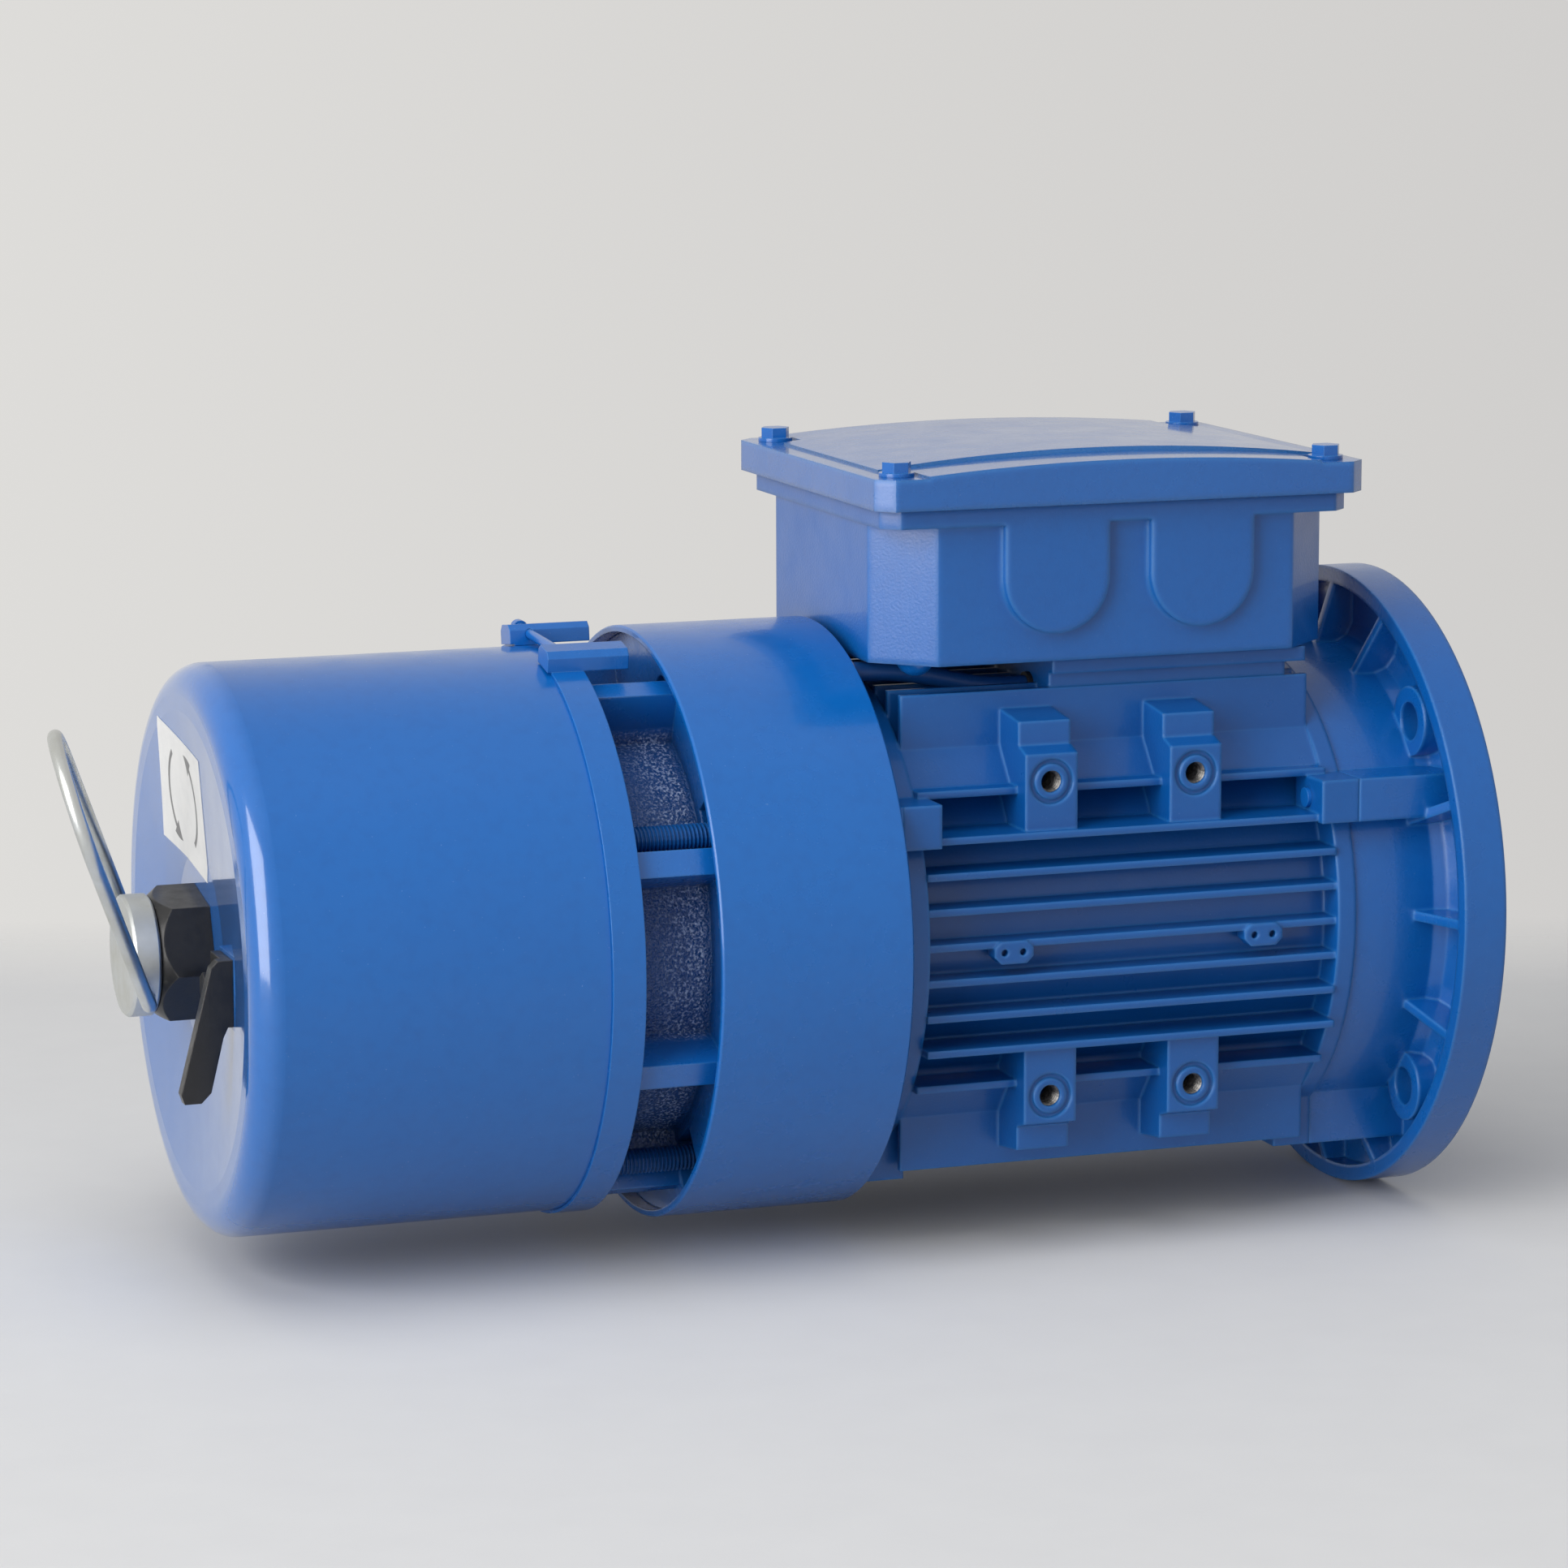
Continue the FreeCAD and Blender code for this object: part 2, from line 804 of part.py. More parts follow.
def flange_shield():
    part = body("flange_shield")
    rim_in = d.flange_r - d.rim_wall
    bell_in = d.bell_r - d.bell_wall
    lip_in = d.register_r - d.register_wall
    web_in = -d.face_recess_depth + d.spigot_len - d.web_t
    hub_end = front_bearing_rear - 1
    seat = d.bearing_out_r + d.fit_gap
    shoulder = d.bearing_out_r - d.wave_spring_w - 3
    seal_back = d.spigot_len - d.seal_len
    seal_seat = d.seal_r + d.fit_gap
    revolve(part, [
        (d.spigot_len, seal_seat),
        (d.spigot_len, d.shield_hub_r),
        (d.spigot_len - d.face_recess_depth, d.shield_hub_r + 2),
        (d.spigot_len - d.face_recess_depth, d.face_recess_r - 2),
        (d.spigot_len, d.face_recess_r),
        (d.spigot_len, d.spigot_r),
        (0, d.spigot_r),
        (0, d.flange_r),
        (-d.flange_depth, d.flange_r),
        (-d.flange_depth, rim_in),
        (-d.web_t, rim_in),
        (-d.web_t, d.bell_r + d.bell_flare),
        (-d.web_t - d.bell_flare / 3, d.bell_r + d.bell_flare / 3),
        (-d.web_t - d.bell_flare, d.bell_r),
        (frame_front, d.bell_r),
        (frame_front, d.register_r),
        (frame_front - d.register_len, d.register_r),
        (frame_front - d.register_len, lip_in),
        (frame_front + d.register_len, lip_in),
        (frame_front + 2 * d.register_len, bell_in),
        (web_in, bell_in),
        (web_in, d.shield_hub_r),
        (hub_end, d.shield_hub_r),
        (hub_end, seat),
        (-d.bearing_setback, seat),
        (-d.bearing_setback, shoulder),
        (seal_back, shoulder),
        (seal_back, seal_seat),
    ])
    rib_out = d.flange_r - d.rim_wall / 2
    rib_in = d.bell_r - d.bell_wall / 2
    for tilt in (0, 22.5, 67.5):
        rib = polygon(sketch(part, "XY_Plane", 0, tilt), [
            (-d.web_t / 2, rib_in),
            (-d.web_t / 2, rib_out),
            (-d.flange_depth + 1, rib_out),
            (-d.flange_rib_rise, rib_in),
        ])
        polar(part, pad(part, rib, d.flange_rib_t, symmetric=True), 4)
    lug = lug_outline(sketch(part, "YZ_Plane", frame_front))
    polar(part, pad(part, lug, d.shield_len - d.web_t), 4)
    bosses = sketch(part, "YZ_Plane", -d.flange_depth)
    holes = sketch(part, "YZ_Plane", -d.flange_depth)
    for y, z in around(bolt_circle_r, 4, 45):
        circle(bosses, y, z, d.flange_boss_r)
        circle(holes, y, z, d.flange_hole_r)
    pad(part, bosses, d.flange_depth - d.web_t / 2)
    pocket(part, holes, d.flange_depth)
    bolts = tie_circles(sketch(part, "YZ_Plane", frame_front), d.frame_bolt_r + d.fit_gap)
    pocket(part, bolts, d.shield_len)
    sinks = tie_circles(sketch(part, "YZ_Plane", -d.frame_bolt_sink), d.frame_bolt_head_r + d.run_gap)
    pocket(part, sinks, d.frame_bolt_sink)


# Stator frame: a die-cast barrel with straight fins, side pads, corner lugs and a box pedestal


def fin_outline(drawn, reach, place_of):
    """A plate right across the barrel, thickest in the middle, as a two-part die draws it."""
    tip = d.fin_tip_t / 2
    root = d.fin_root_t / 2
    corners = [(-reach, -tip), (0, -root), (reach, -tip), (reach, tip), (0, root), (-reach, tip)]
    return polygon(drawn, [place_of(along, across) for along, across in corners])


def frame_fins():
    """Level fins on both sides, upright fins above and below, and a shelf under and over the pads."""
    side_low = -d.side_fin_pitch * (d.side_fin_count - 1) / 2
    top_low = -d.top_fin_pitch * (d.top_fin_count - 1) / 2
    side = draft("side_fins")
    drawn = sketch(side, "YZ_Plane", fin_rear)
    fin_outline(drawn, d.side_fin_reach, lambda along, across: (along, side_low + across))
    row_of(side, pad(side, drawn, fin_len), "V_Axis", d.side_fin_pitch, d.side_fin_count)
    top = draft("top_fins")
    drawn = sketch(top, "YZ_Plane", fin_rear)
    fin_outline(drawn, d.top_fin_reach, lambda along, across: (top_low + across, along))
    row_of(top, pad(top, drawn, fin_len), "H_Axis", d.top_fin_pitch, d.top_fin_count)
    shelf = draft("shelf_fins")
    drawn = sketch(shelf, "YZ_Plane", fin_rear)
    fin_outline(drawn, d.shelf_reach, lambda along, across: (along, across - d.shelf_z))
    row_of(shelf, pad(shelf, drawn, fin_len), "V_Axis", 2 * d.shelf_z, Size.of(2))
    return [side, top, shelf]


def frame_shoulders():
    """A sloped web along each corner, from the shelf fin to the outermost upright fin."""
    part = draft("frame_shoulders")
    drawn = sketch(part, "YZ_Plane", fin_rear)
    root = d.pedestal_half_w - d.fin_tip_t / 4
    for side in SIDES:
        for level in SIDES:
            polygon(drawn, [
                (side * root, level * d.shelf_z),
                (side * d.shoulder_reach, level * d.shelf_z),
                (side * d.pedestal_half_w, level * d.shoulder_z),
                (side * root, level * d.shoulder_z),
            ])
    pad(part, drawn, fin_len)
    return part


def side_pads():
    """Two stepped pads above and below the fins on each side."""
    part = draft("side_pads")
    for step in SIDES:
        pads = sketch(part, "YZ_Plane", -d.pad_mid + step * d.pad_pitch / 2 - d.pad_w / 2)
        for side in SIDES:
            for level in SIDES:
                polygon(pads, [
                    (side * d.pad_face, level * (d.pad_z - d.pad_below)),
                    (side * d.pad_face, level * (d.pad_z + d.pad_above)),
                    (side * d.pad_step_face, level * (d.pad_z + d.pad_above + 2)),
                    (side * d.pad_step_face, level * d.pad_step_z),
                    (side * d.pedestal_half_w, level * (d.pad_step_z + 2)),
                    (side * d.pedestal_half_w, level * d.pedestal_root),
                    (side * d.lug_root, level * (d.pad_z - d.pad_below)),
                ])
        pad(part, pads, d.pad_w)
    return part


def side_pad_cuts():
    """The threaded hole in each pad, and the shallow ring turned around it."""
    cuts = []
    for side in SIDES:
        for depth, radii in ((d.pad_hole_depth, [d.pad_hole_r]),
                             (d.pad_ring_depth, [d.pad_ring_r, d.pad_ring_in_r])):
            part = draft("pad_cuts")
            start = d.pad_face - depth if side < 0 else -d.pad_face - 1
            drawn = sketch(part, "XZ_Plane", start)
            for step in SIDES:
                for level in SIDES:
                    for radius in radii:
                        circle(drawn, -d.pad_mid + step * d.pad_pitch / 2, level * d.pad_z, radius)
            pad(part, drawn, depth + 1)
            cuts.append(part)
    return cuts


def rivet_bosses():
    """Two small chamfered bosses for plate rivets on the middle fin of the near side."""
    half = d.rivet_boss_w / 2
    tall = d.rivet_boss_tall / 2
    bosses = draft("rivet_bosses")
    holes = draft("rivet_holes")
    outline = sketch(bosses, "XZ_Plane", d.rivet_boss_reach - d.rivet_boss_depth)
    drilled = sketch(holes, "XZ_Plane", d.rivet_boss_reach - d.rivet_hole_depth)
    z = -d.rivet_boss_drop
    for step in (0, 1):
        x = -d.rivet_boss_front - step * d.rivet_boss_pitch
        octagon(outline, x - half, z - tall, x + half, z + tall, d.rivet_boss_corner)
        for side in SIDES:
            circle(drilled, x + side * d.rivet_hole_pitch / 2, z, d.rivet_hole_r)
    pad(bosses, outline, d.rivet_boss_depth)
    pad(holes, drilled, d.rivet_hole_depth + 1)
    return bosses, holes


def frame_lugs():
    part = draft("frame_lugs")
    for start in (frame_rear, frame_front - d.frame_lug_len):
        drawn = sketch(part, "YZ_Plane", start)
        for turn in QUARTERS:
            lug_outline(drawn, turn)
        pad(part, drawn, d.frame_lug_len)
    return part


def pedestal_cuts():
    """The well under the terminal box, its way to the windings, and its screw and lead holes."""
    wall = d.pedestal_wall
    half = d.pedestal_half_w - wall
    front = -d.pedestal_front - wall
    well = draft("pedestal_well")
    outline = sketch(well, "XY_Plane", d.pedestal_floor)
    octagon(outline, pedestal_rear + wall, -half, front, half, d.pedestal_corner)
    pad(well, outline, d.pedestal_top - d.pedestal_floor + 1)
    slot = block("pedestal_slot", (front - d.lead_slot_len, -d.lead_slot_half_w, d.bore_r / 2),
                 d.lead_slot_len, 2 * d.lead_slot_half_w, d.pedestal_floor + 1 - d.bore_r / 2)
    cuts = [well, slot]
    for x, y in box_screw_places():
        cuts.append(rod("pedestal_screw", (x, y, d.pedestal_top - d.box_screw_len),
                        d.box_screw_len + 1, d.box_screw_r + d.fit_gap, "Z"))
    neck = d.grommet_r - d.grommet_lip + d.fit_gap
    cuts.append(rod("pedestal_lead", (pedestal_rear - 1, -lead_y, lead_wall_z),
                    wall + d.pedestal_corner, neck))
    return cuts


def box_screw_places():
    inset = d.box_screw_inset
    for x in (pedestal_rear + inset, -d.pedestal_front - inset):
        for side in SIDES:
            yield x, side * (d.pedestal_half_w - inset)


def frame_bore():
    """The bore for the core, with a counterbore for each end shield's register."""
    part = draft("frame_bore")
    register = d.register_r + d.fit_gap
    depth = d.register_len + d.run_gap
    revolve(part, [
        (frame_rear - 1, 0),
        (frame_rear - 1, register),
        (frame_rear + depth, register),
        (frame_rear + depth, d.bore_r),
        (frame_front - depth, d.bore_r),
        (frame_front - depth, register),
        (frame_front + 1, register),
        (frame_front + 1, 0),
    ])
    return part


def stator_frame():
    barrel = draft("frame_barrel")
    front_ring = frame_front - d.front_ring_len
    revolve(barrel, [
        (frame_rear, 0), (frame_rear, d.ring_r), (fin_rear, d.ring_r), (fin_rear, d.barrel_r),
        (front_ring, d.barrel_r), (front_ring, d.ring_r), (frame_front, d.ring_r), (frame_front, 0),
    ])
    pedestal = block("pedestal", (pedestal_rear, -d.pedestal_half_w, d.pedestal_root),
                     d.pedestal_len, 2 * d.pedestal_half_w, d.pedestal_top - d.pedestal_root)
    lip_half = d.pedestal_half_w + d.pedestal_lip
    lip = block("pedestal_lip", (pedestal_rear, -lip_half, d.pedestal_top - d.pedestal_lip_t),
                d.pedestal_len + d.pedestal_lip_front, 2 * lip_half, d.pedestal_lip_t)
    bosses, rivet_holes = rivet_bosses()
    solid = fuse("frame", [barrel, pedestal, lip, bosses, side_pads(), frame_shoulders(), frame_lugs()]
                 + frame_fins())
    cuts = [frame_bore(), rivet_holes] + side_pad_cuts() + pedestal_cuts()
    for turn in QUARTERS:
        y, z = turned(-tie_y, tie_z, turn)
        length = d.frame_lug_len + 2
        bolt_end = frame_front - d.frame_lug_len - d.frame_bolt_tip - 1
        cuts.append(rod("bolt_hole", (bolt_end, y, z), length + d.frame_bolt_tip,
                        d.frame_bolt_r + d.fit_gap))
        cuts.append(rod("stud_hole", (frame_rear - 1, y, z), length + d.stud_overhang,
                        d.stud_r + d.fit_gap))
    node("stator_frame", cut("frame", solid, fuse("frame_cuts", cuts)))


# Stator: slotted core and one winding whose bars lie in the slots


def stator_core():
    part = ring_body("stator_core", core_rear, core_len, d.bore_r - d.fit_gap, stator_in_r)
    slot = sketch(part, "YZ_Plane", core_rear)
    rectangle(slot, -d.slot_w / 2, stator_in_r - 1, d.slot_w / 2, stator_in_r + d.slot_depth)
    polar(part, pocket(part, slot, core_len), d.slot_count)


def stator_windings():
    part = body("stator_windings")
    bar_half = d.slot_w / 2 - d.slot_liner
    bar_top = stator_in_r + d.slot_depth - d.slot_liner
    bar = sketch(part, "YZ_Plane", core_rear - d.winding_len / 2)
    rectangle(bar, -bar_half, d.winding_in_r, bar_half, bar_top)
    for start in (core_rear - d.winding_len, core_front):
        mid = (d.winding_in_r + d.winding_out_r) / 2
        lip = d.winding_len / 4
        outer = start + d.winding_len
        revolve(part, [
            (start, d.winding_in_r + lip), (start, mid + lip), (start + lip, d.winding_out_r),
            (outer - lip, d.winding_out_r), (outer, mid + lip), (outer, d.winding_in_r + lip),
            (outer - lip, d.winding_in_r), (start + lip, d.winding_in_r),
        ])
        if start is not core_front:
            bars = pad(part, bar, core_len + d.winding_len)
            polar(part, bars, d.slot_count)


# Ball bearings: each an outer ring, an inner ring, and a cage with its balls


def bearing_ring(name, start, seat, land):
    """A ring with a shallow raceway groove in its inner or outer land."""
    part = body(name)
    mid = start + d.bearing_w / 2
    groove = d.ball_r * 0.8
    inward = 1 if value(seat) > value(land) else -1
    bottom = d.ball_circle_r + inward * (d.ball_r + d.run_gap)
    end = start + d.bearing_w
    revolve(part, [
        (start, seat), (end, seat), (end, land), (mid + groove, land),
        (mid + groove / 2, bottom), (mid - groove / 2, bottom), (mid - groove, land), (start, land),
    ])


def ball_cage(name, start):
    mid = start + d.bearing_w / 2
    outer = d.ball_circle_r + d.cage_t / 2
    cage = tube(name, (mid - d.cage_w / 2, 0, 0), d.cage_w, outer, outer - d.cage_t)
    places = list(around(d.ball_circle_r, d.ball_count))
    pockets = [ball(name, (mid, y, z), d.ball_r + d.run_gap / 2) for y, z in places]
    balls = [ball(name, (mid, y, z), d.ball_r) for y, z in places]
    group(name, [cut(name, cage, fuse(name, pockets))] + balls)


def bearings():
    for name, start in (("front", front_bearing_rear), ("rear", rear_bearing_rear)):
        bearing_ring(name + "_bearing_outer", start, d.bearing_out_r, d.outer_ring_in_r)
        bearing_ring(name + "_bearing_inner", start, d.bearing_bore_r + d.fit_gap, d.inner_ring_r)
        ball_cage(name + "_ball_cage", start)
    ring_body("wave_spring", rear_bearing_rear - d.wave_spring_t, d.wave_spring_t,
              d.bearing_out_r - d.run_gap, d.bearing_out_r - d.wave_spring_w)
    ring_body("shaft_seal", d.spigot_len - d.seal_len, d.seal_len,
              d.seal_r, d.bearing_bore_r + d.fit_gap)


# Rotor: keyed shaft, slotted core, and the cast cage of bars and end rings


def shaft():
    part = body("shaft")
    revolve(part, [
        (d.shaft_end_len, 0),
        (d.shaft_end_len, d.shaft_end_r - 1),
        (d.shaft_end_len - 1, d.shaft_end_r),
        (0, d.shaft_end_r),
        (0, d.bearing_bore_r),
        (front_bearing_rear, d.bearing_bore_r),
        (front_bearing_rear, d.shaft_body_r),
        (rear_bearing_front, d.shaft_body_r),
        (rear_bearing_front, d.bearing_bore_r),
        (rear_bearing_rear, d.bearing_bore_r),
        (rear_bearing_rear, d.shaft_tail_r),
        (shaft_tail + 1, d.shaft_tail_r),
        (shaft_tail, d.shaft_tail_r - 1),
        (shaft_tail, 0),
    ])
    keyway = sketch(part, "XZ_Plane", -d.shaft_end_r - 1)
    end = d.shaft_end_len - d.keyway_end_gap
    rectangle(keyway, end - d.keyway_len, -d.keyway_w / 2, end, d.keyway_w / 2)
    pocket(part, keyway, d.keyway_depth + 1)


def bar_outline(part, start, margin):
    """One rotor bar at the top of the core, just under its surface."""
    top = d.rotor_r - d.bar_cover
    drawn = sketch(part, "YZ_Plane", start)
    half = d.bar_w / 2
    return rectangle(drawn, -half - margin, top - d.bar_depth - margin, half + margin, top + margin)


def rotor():
    core = ring_body("rotor_core", core_rear, core_len, d.rotor_r, d.shaft_body_r + d.fit_gap)
    polar(core, pocket(core, bar_outline(core, core_rear, d.fit_gap), core_len), d.bar_count)
    cage = body("rotor_cage")
    ring_r = d.rotor_r - d.bar_cover
    for start in (core_rear - d.end_ring_len, core_front):
        drawn = sketch(cage, "YZ_Plane", start)
        circle(drawn, 0, 0, ring_r)
        circle(drawn, 0, 0, d.end_ring_in_r)
        pad(cage, drawn, d.end_ring_len)
        if start is not core_front:
            bars = pad(cage, bar_outline(cage, core_rear - d.end_ring_len / 2, 0),
                       core_len + d.end_ring_len)
            polar(cage, bars, d.bar_count)


# Rear end shield: carries the rear bearing and closes the frame


def rear_endshield():
    part = body("rear_endshield")
    seat = d.bearing_out_r + d.fit_gap
    bore = d.shaft_tail_r + d.shaft_clear
    lip_in = d.register_r - d.register_wall
    spring_back = rear_bearing_rear - d.wave_spring_t
    revolve(part, [
        (frame_rear + d.register_len, lip_in),
        (frame_rear + d.register_len, d.register_r),
        (frame_rear, d.register_r),
        (frame_rear, d.rear_shield_r),
        (rear_shield_back, d.rear_shield_r),
        (rear_shield_back, d.rear_hub_r),
        (rear_hub_back, d.rear_hub_r - 2),
        (rear_hub_back, bore),
        (spring_back, bore),
        (spring_back, seat),
        (rear_bearing_front + 1, seat),
        (rear_bearing_front + 1, d.rear_hub_r),
        (frame_rear - d.register_len, d.rear_hub_r + d.register_len),
        (frame_rear - d.register_len, lip_in - d.register_len),
    ])
    lug = lug_outline(sketch(part, "YZ_Plane", rear_shield_back))
    polar(part, pad(part, lug, d.rear_shield_t), 4)
    holes = tie_circles(sketch(part, "YZ_Plane", rear_shield_back), d.stud_r + d.fit_gap)
    pocket(part, holes, d.rear_shield_t)


# Fasteners that hold the shields, the bracket and the frame together


def frame_fasteners():
    bolts = []
    studs = []
    nuts = []
    bolt_tip = frame_front - d.frame_lug_len - d.frame_bolt_tip
    bolt_seat = -d.frame_bolt_sink
    stud_front = frame_rear + d.frame_lug_len + d.stud_overhang
    stud_rear = bracket_rear - d.tie_nut_t - d.stud_overhang
    for turn in QUARTERS:
        y, z = turned(-tie_y, tie_z, turn)
        shank = rod("frame_bolt", (bolt_tip, y, z), bolt_seat + 1 - bolt_tip, d.frame_bolt_r)
        head = rod("frame_bolt", (bolt_seat, y, z), d.frame_bolt_head, d.frame_bolt_head_r)
        bolts.append(fuse("frame_bolt", [shank, head]))
        studs.append(rod("tie_stud", (stud_rear, y, z), stud_front - stud_rear, d.stud_r))
        nut = hex_bar("tie_nut", (bracket_rear - d.tie_nut_t, y, z), d.tie_nut_t, d.tie_nut_flats)
        hole = rod("tie_nut", (bracket_rear - d.tie_nut_t, y, z), d.tie_nut_t, d.stud_r + d.fit_gap)
        nuts.append(cut("tie_nut", nut, hole))
    group("frame_bolts", bolts)
    group("tie_studs", studs)
    group("tie_nuts", nuts)


# Fan on the shaft's tail, and the round cowl over it


def fan():
    part = body("fan")
    bore = d.shaft_tail_r + d.fit_gap
    revolve(part, [
        (fan_front, bore),
        (fan_front, d.fan_hub_r),
        (fan_rear + d.fan_disc_t * 2, d.fan_hub_r + 2),
        (fan_rear + d.fan_disc_t, d.fan_r),
        (fan_rear, d.fan_r),
        (fan_rear, bore),
    ])
    blade = polygon(sketch(part, "XY_Plane"), [
        (fan_rear + d.fan_disc_t / 2, d.fan_hub_r - 2),
        (fan_front, d.fan_hub_r - 2),
        (fan_front, d.fan_eye_r),
        (fan_front - d.fan_len / 4, d.fan_r),
        (fan_rear + d.fan_disc_t / 2, d.fan_r),
    ])
    polar(part, pad(part, blade, d.fan_blade_t, symmetric=True), d.fan_blade_count)
    ring_body("fan_circlip", fan_rear - d.circlip_t, d.circlip_t,
              d.shaft_tail_r + d.circlip_w, d.shaft_tail_r + d.fit_gap)


def fan_cowl():
    part = body("fan_cowl")
    soft = d.cowl_t / 4
    revolve(part, [
        (cowl_front, cowl_in_r), (cowl_front, cowl_r - soft), (cowl_front - soft, cowl_r),
        (cowl_rear + soft, cowl_r), (cowl_rear, cowl_r - soft), (cowl_rear, cowl_in_r),
    ])


# Brake bracket: a ribbed casting that carries the cowl, the brake and the cover


def brake_bracket():
    part = body("brake_bracket")
    drum_in = d.drum_r - d.drum_wall
    revolve(part, [
        (disc_front, drum_in),
        (disc_front, cowl_in_r - d.fit_gap),
        (disc_rear, cowl_in_r - d.fit_gap),
        (disc_rear, d.drum_r),
        (seat_front, d.drum_r),
        (seat_front, seat_r),
        (bracket_rear, seat_r),
        (bracket_rear, d.bracket_bore_r),
        (seat_front, d.bracket_bore_r),
        (seat_front, drum_in),
    ])
    rib = sketch(part, "YZ_Plane", seat_front)
    leg = sketch(part, "YZ_Plane", disc_front)
    for index in range(int(value(d.bracket_rib_count))):
        angle = d.bracket_rib_angle + 360 * index / value(d.bracket_rib_count)
        radial_bar(rib, angle, drum_in + 1, bracket_rib_r, d.bracket_rib_w)
    pad(part, rib, disc_front - seat_front)
    for turn in QUARTERS:
        leg_in = d.tie_r - d.bracket_leg_room
        radial_bar(leg, d.bracket_rib_angle + turn, leg_in, bracket_rib_r, d.bracket_rib_w)
    pad(part, leg, rear_shield_back - disc_front)
    window_in = d.tie_r - d.window_in_room
    window_out = d.tie_r + d.window_out_room
    window = polygon(sketch(part, "YZ_Plane", disc_rear), [
        sector_point(d.window_low, window_in), sector_point(d.window_low, window_out),
        sector_point(d.window_high, window_out), sector_point(d.window_high, window_in),
    ])
    polar(part, pocket(part, window, d.bracket_disc_t), 4)
    studs = tie_circles(sketch(part, "YZ_Plane", bracket_rear), d.stud_r + d.fit_gap)
    pocket(part, studs, seat_front - bracket_rear)
    screws = sketch(part, "YZ_Plane", bracket_rear)
    for y, z in brake_screw_places():
        circle(screws, y, z, d.brake_screw_r + d.fit_gap)
    pocket(part, screws, d.brake_screw_grip)
    lead = circle(sketch(part, "YZ_Plane", bracket_rear), *lead_brake_place(), d.lead_r + d.fit_gap)
    pocket(part, lead, seat_front - bracket_rear)
    lead_window = circle(sketch(part, "YZ_Plane", disc_rear), *lead_disc_place(), d.lead_r * 2)
    pocket(part, lead_window, d.bracket_disc_t)


def sector_point(angle, radius):
    """A place at an angle above the near side's horizontal."""
    return -radius * cos(angle), radius * sin(angle)


def radial_bar(drawn, angle, inner, outer, width):
    """A straight-sided bar that points out from the motor axis."""
    half = width / 2
    corners = [(inner, -half), (outer, -half), (outer, half), (inner, half)]
    polygon(drawn, [
        (-along * cos(angle) + across * sin(angle), along * sin(angle) + across * cos(angle))
        for along, across in corners
    ])


def brake_screw_places():
    return list(around(d.brake_screw_circle_r, d.brake_screw_count, 90))


def lead_brake_place():
    radius = (d.armature_r + d.magnet_r) / 2 + 1
    return -radius * cos(75), radius * sin(75)


def lead_disc_place():
    y, z = lead_brake_place()
    return y - 0.5, z + 2


# Cover over the brake, its seal, and the clamp band that holds it


def brake_cover():
    part = body("brake_cover")
    revolve(part, [
        (dish_face, 0),
        (dish_face, d.cover_dish_in_r),
        (cover_face, d.cover_dish_r),
        (cover_face, cover_r),
        (cover_rim, cover_r),
        (cover_rim, 0),
    ])
    rear = value(cover_face)
    width = 2 * value(cover_r)
    dress_edges(part, "Fillet", d.cover_corner_r,
                lambda edge: edge.BoundBox.XLength < 0.01 and abs(edge.BoundBox.XMin - rear) < 0.01
                and edge.BoundBox.YLength > width - 0.01)
    doc.recompute()
    base = part.Tip
    rim = value(cover_rim)
    front = next(f"Face{i}" for i, face in enumerate(base.Shape.Faces, start=1)
                 if face.BoundBox.XLength < 0.01 and abs(face.BoundBox.XMin - rim) < 0.01)
    shell = part.newObject("PartDesign::Thickness", "brake_cover_shell")
    shell.Base = (base, [front])
    shell.Reversed = True
    tie(shell, "Value", d.cover_t)
    seat = rectangle(sketch(part, "YZ_Plane", catch_seat),
                     -d.catch_y - d.catch_t / 2 - d.catch_seat_edge, -d.catch_root - d.catch_seat_edge,
                     -d.catch_y + d.catch_foot_len + d.catch_seat_edge, d.catch_top + d.catch_seat_edge)
    pad(part, seat, d.catch_seat_rise + d.cover_t / 4)
    holes = circle(sketch(part, "YZ_Plane", catch_seat), 0, 0, d.bush_neck_r + d.fit_gap)
    circle(holes, *catch_screw_place(), d.catch_screw_r + d.fit_gap)
    pocket(part, holes, d.catch_seat_rise + d.cover_t)
    ring_body("cover_seal", bracket_rear + d.cover_seal_t, d.cover_seal_t,
              cover_in_r, seat_r)


def clamp_band():
    ring = draft("band_ring")
    outer = cover_r + d.fit_gap + d.band_t
    drawn = sketch(ring, "YZ_Plane", band_rear)
    circle(drawn, 0, 0, outer)
    circle(drawn, 0, 0, cover_r + d.fit_gap)
    pad(ring, drawn, d.band_w)
    half = d.band_split / 2
    split = polygon(sketch(ring, "YZ_Plane", band_rear), [
        sector_point(d.band_split_angle - half, cover_r - 5),
        sector_point(d.band_split_angle - half, outer + 5),
        sector_point(d.band_split_angle + half, outer + 5),
        sector_point(d.band_split_angle + half, cover_r - 5),
    ])
    lugs = sketch(ring, "YZ_Plane", band_rear - d.band_lug_overhang)
    for side in SIDES:
        lug_place(lugs, side)
    pad(ring, lugs, d.band_lug_len)
    pocket(ring, split, d.band_w)
    node("clamp_band", cut("clamp_band", ring, clamp_rod("band_hole", d.clamp_screw_r + d.fit_gap, 1)))


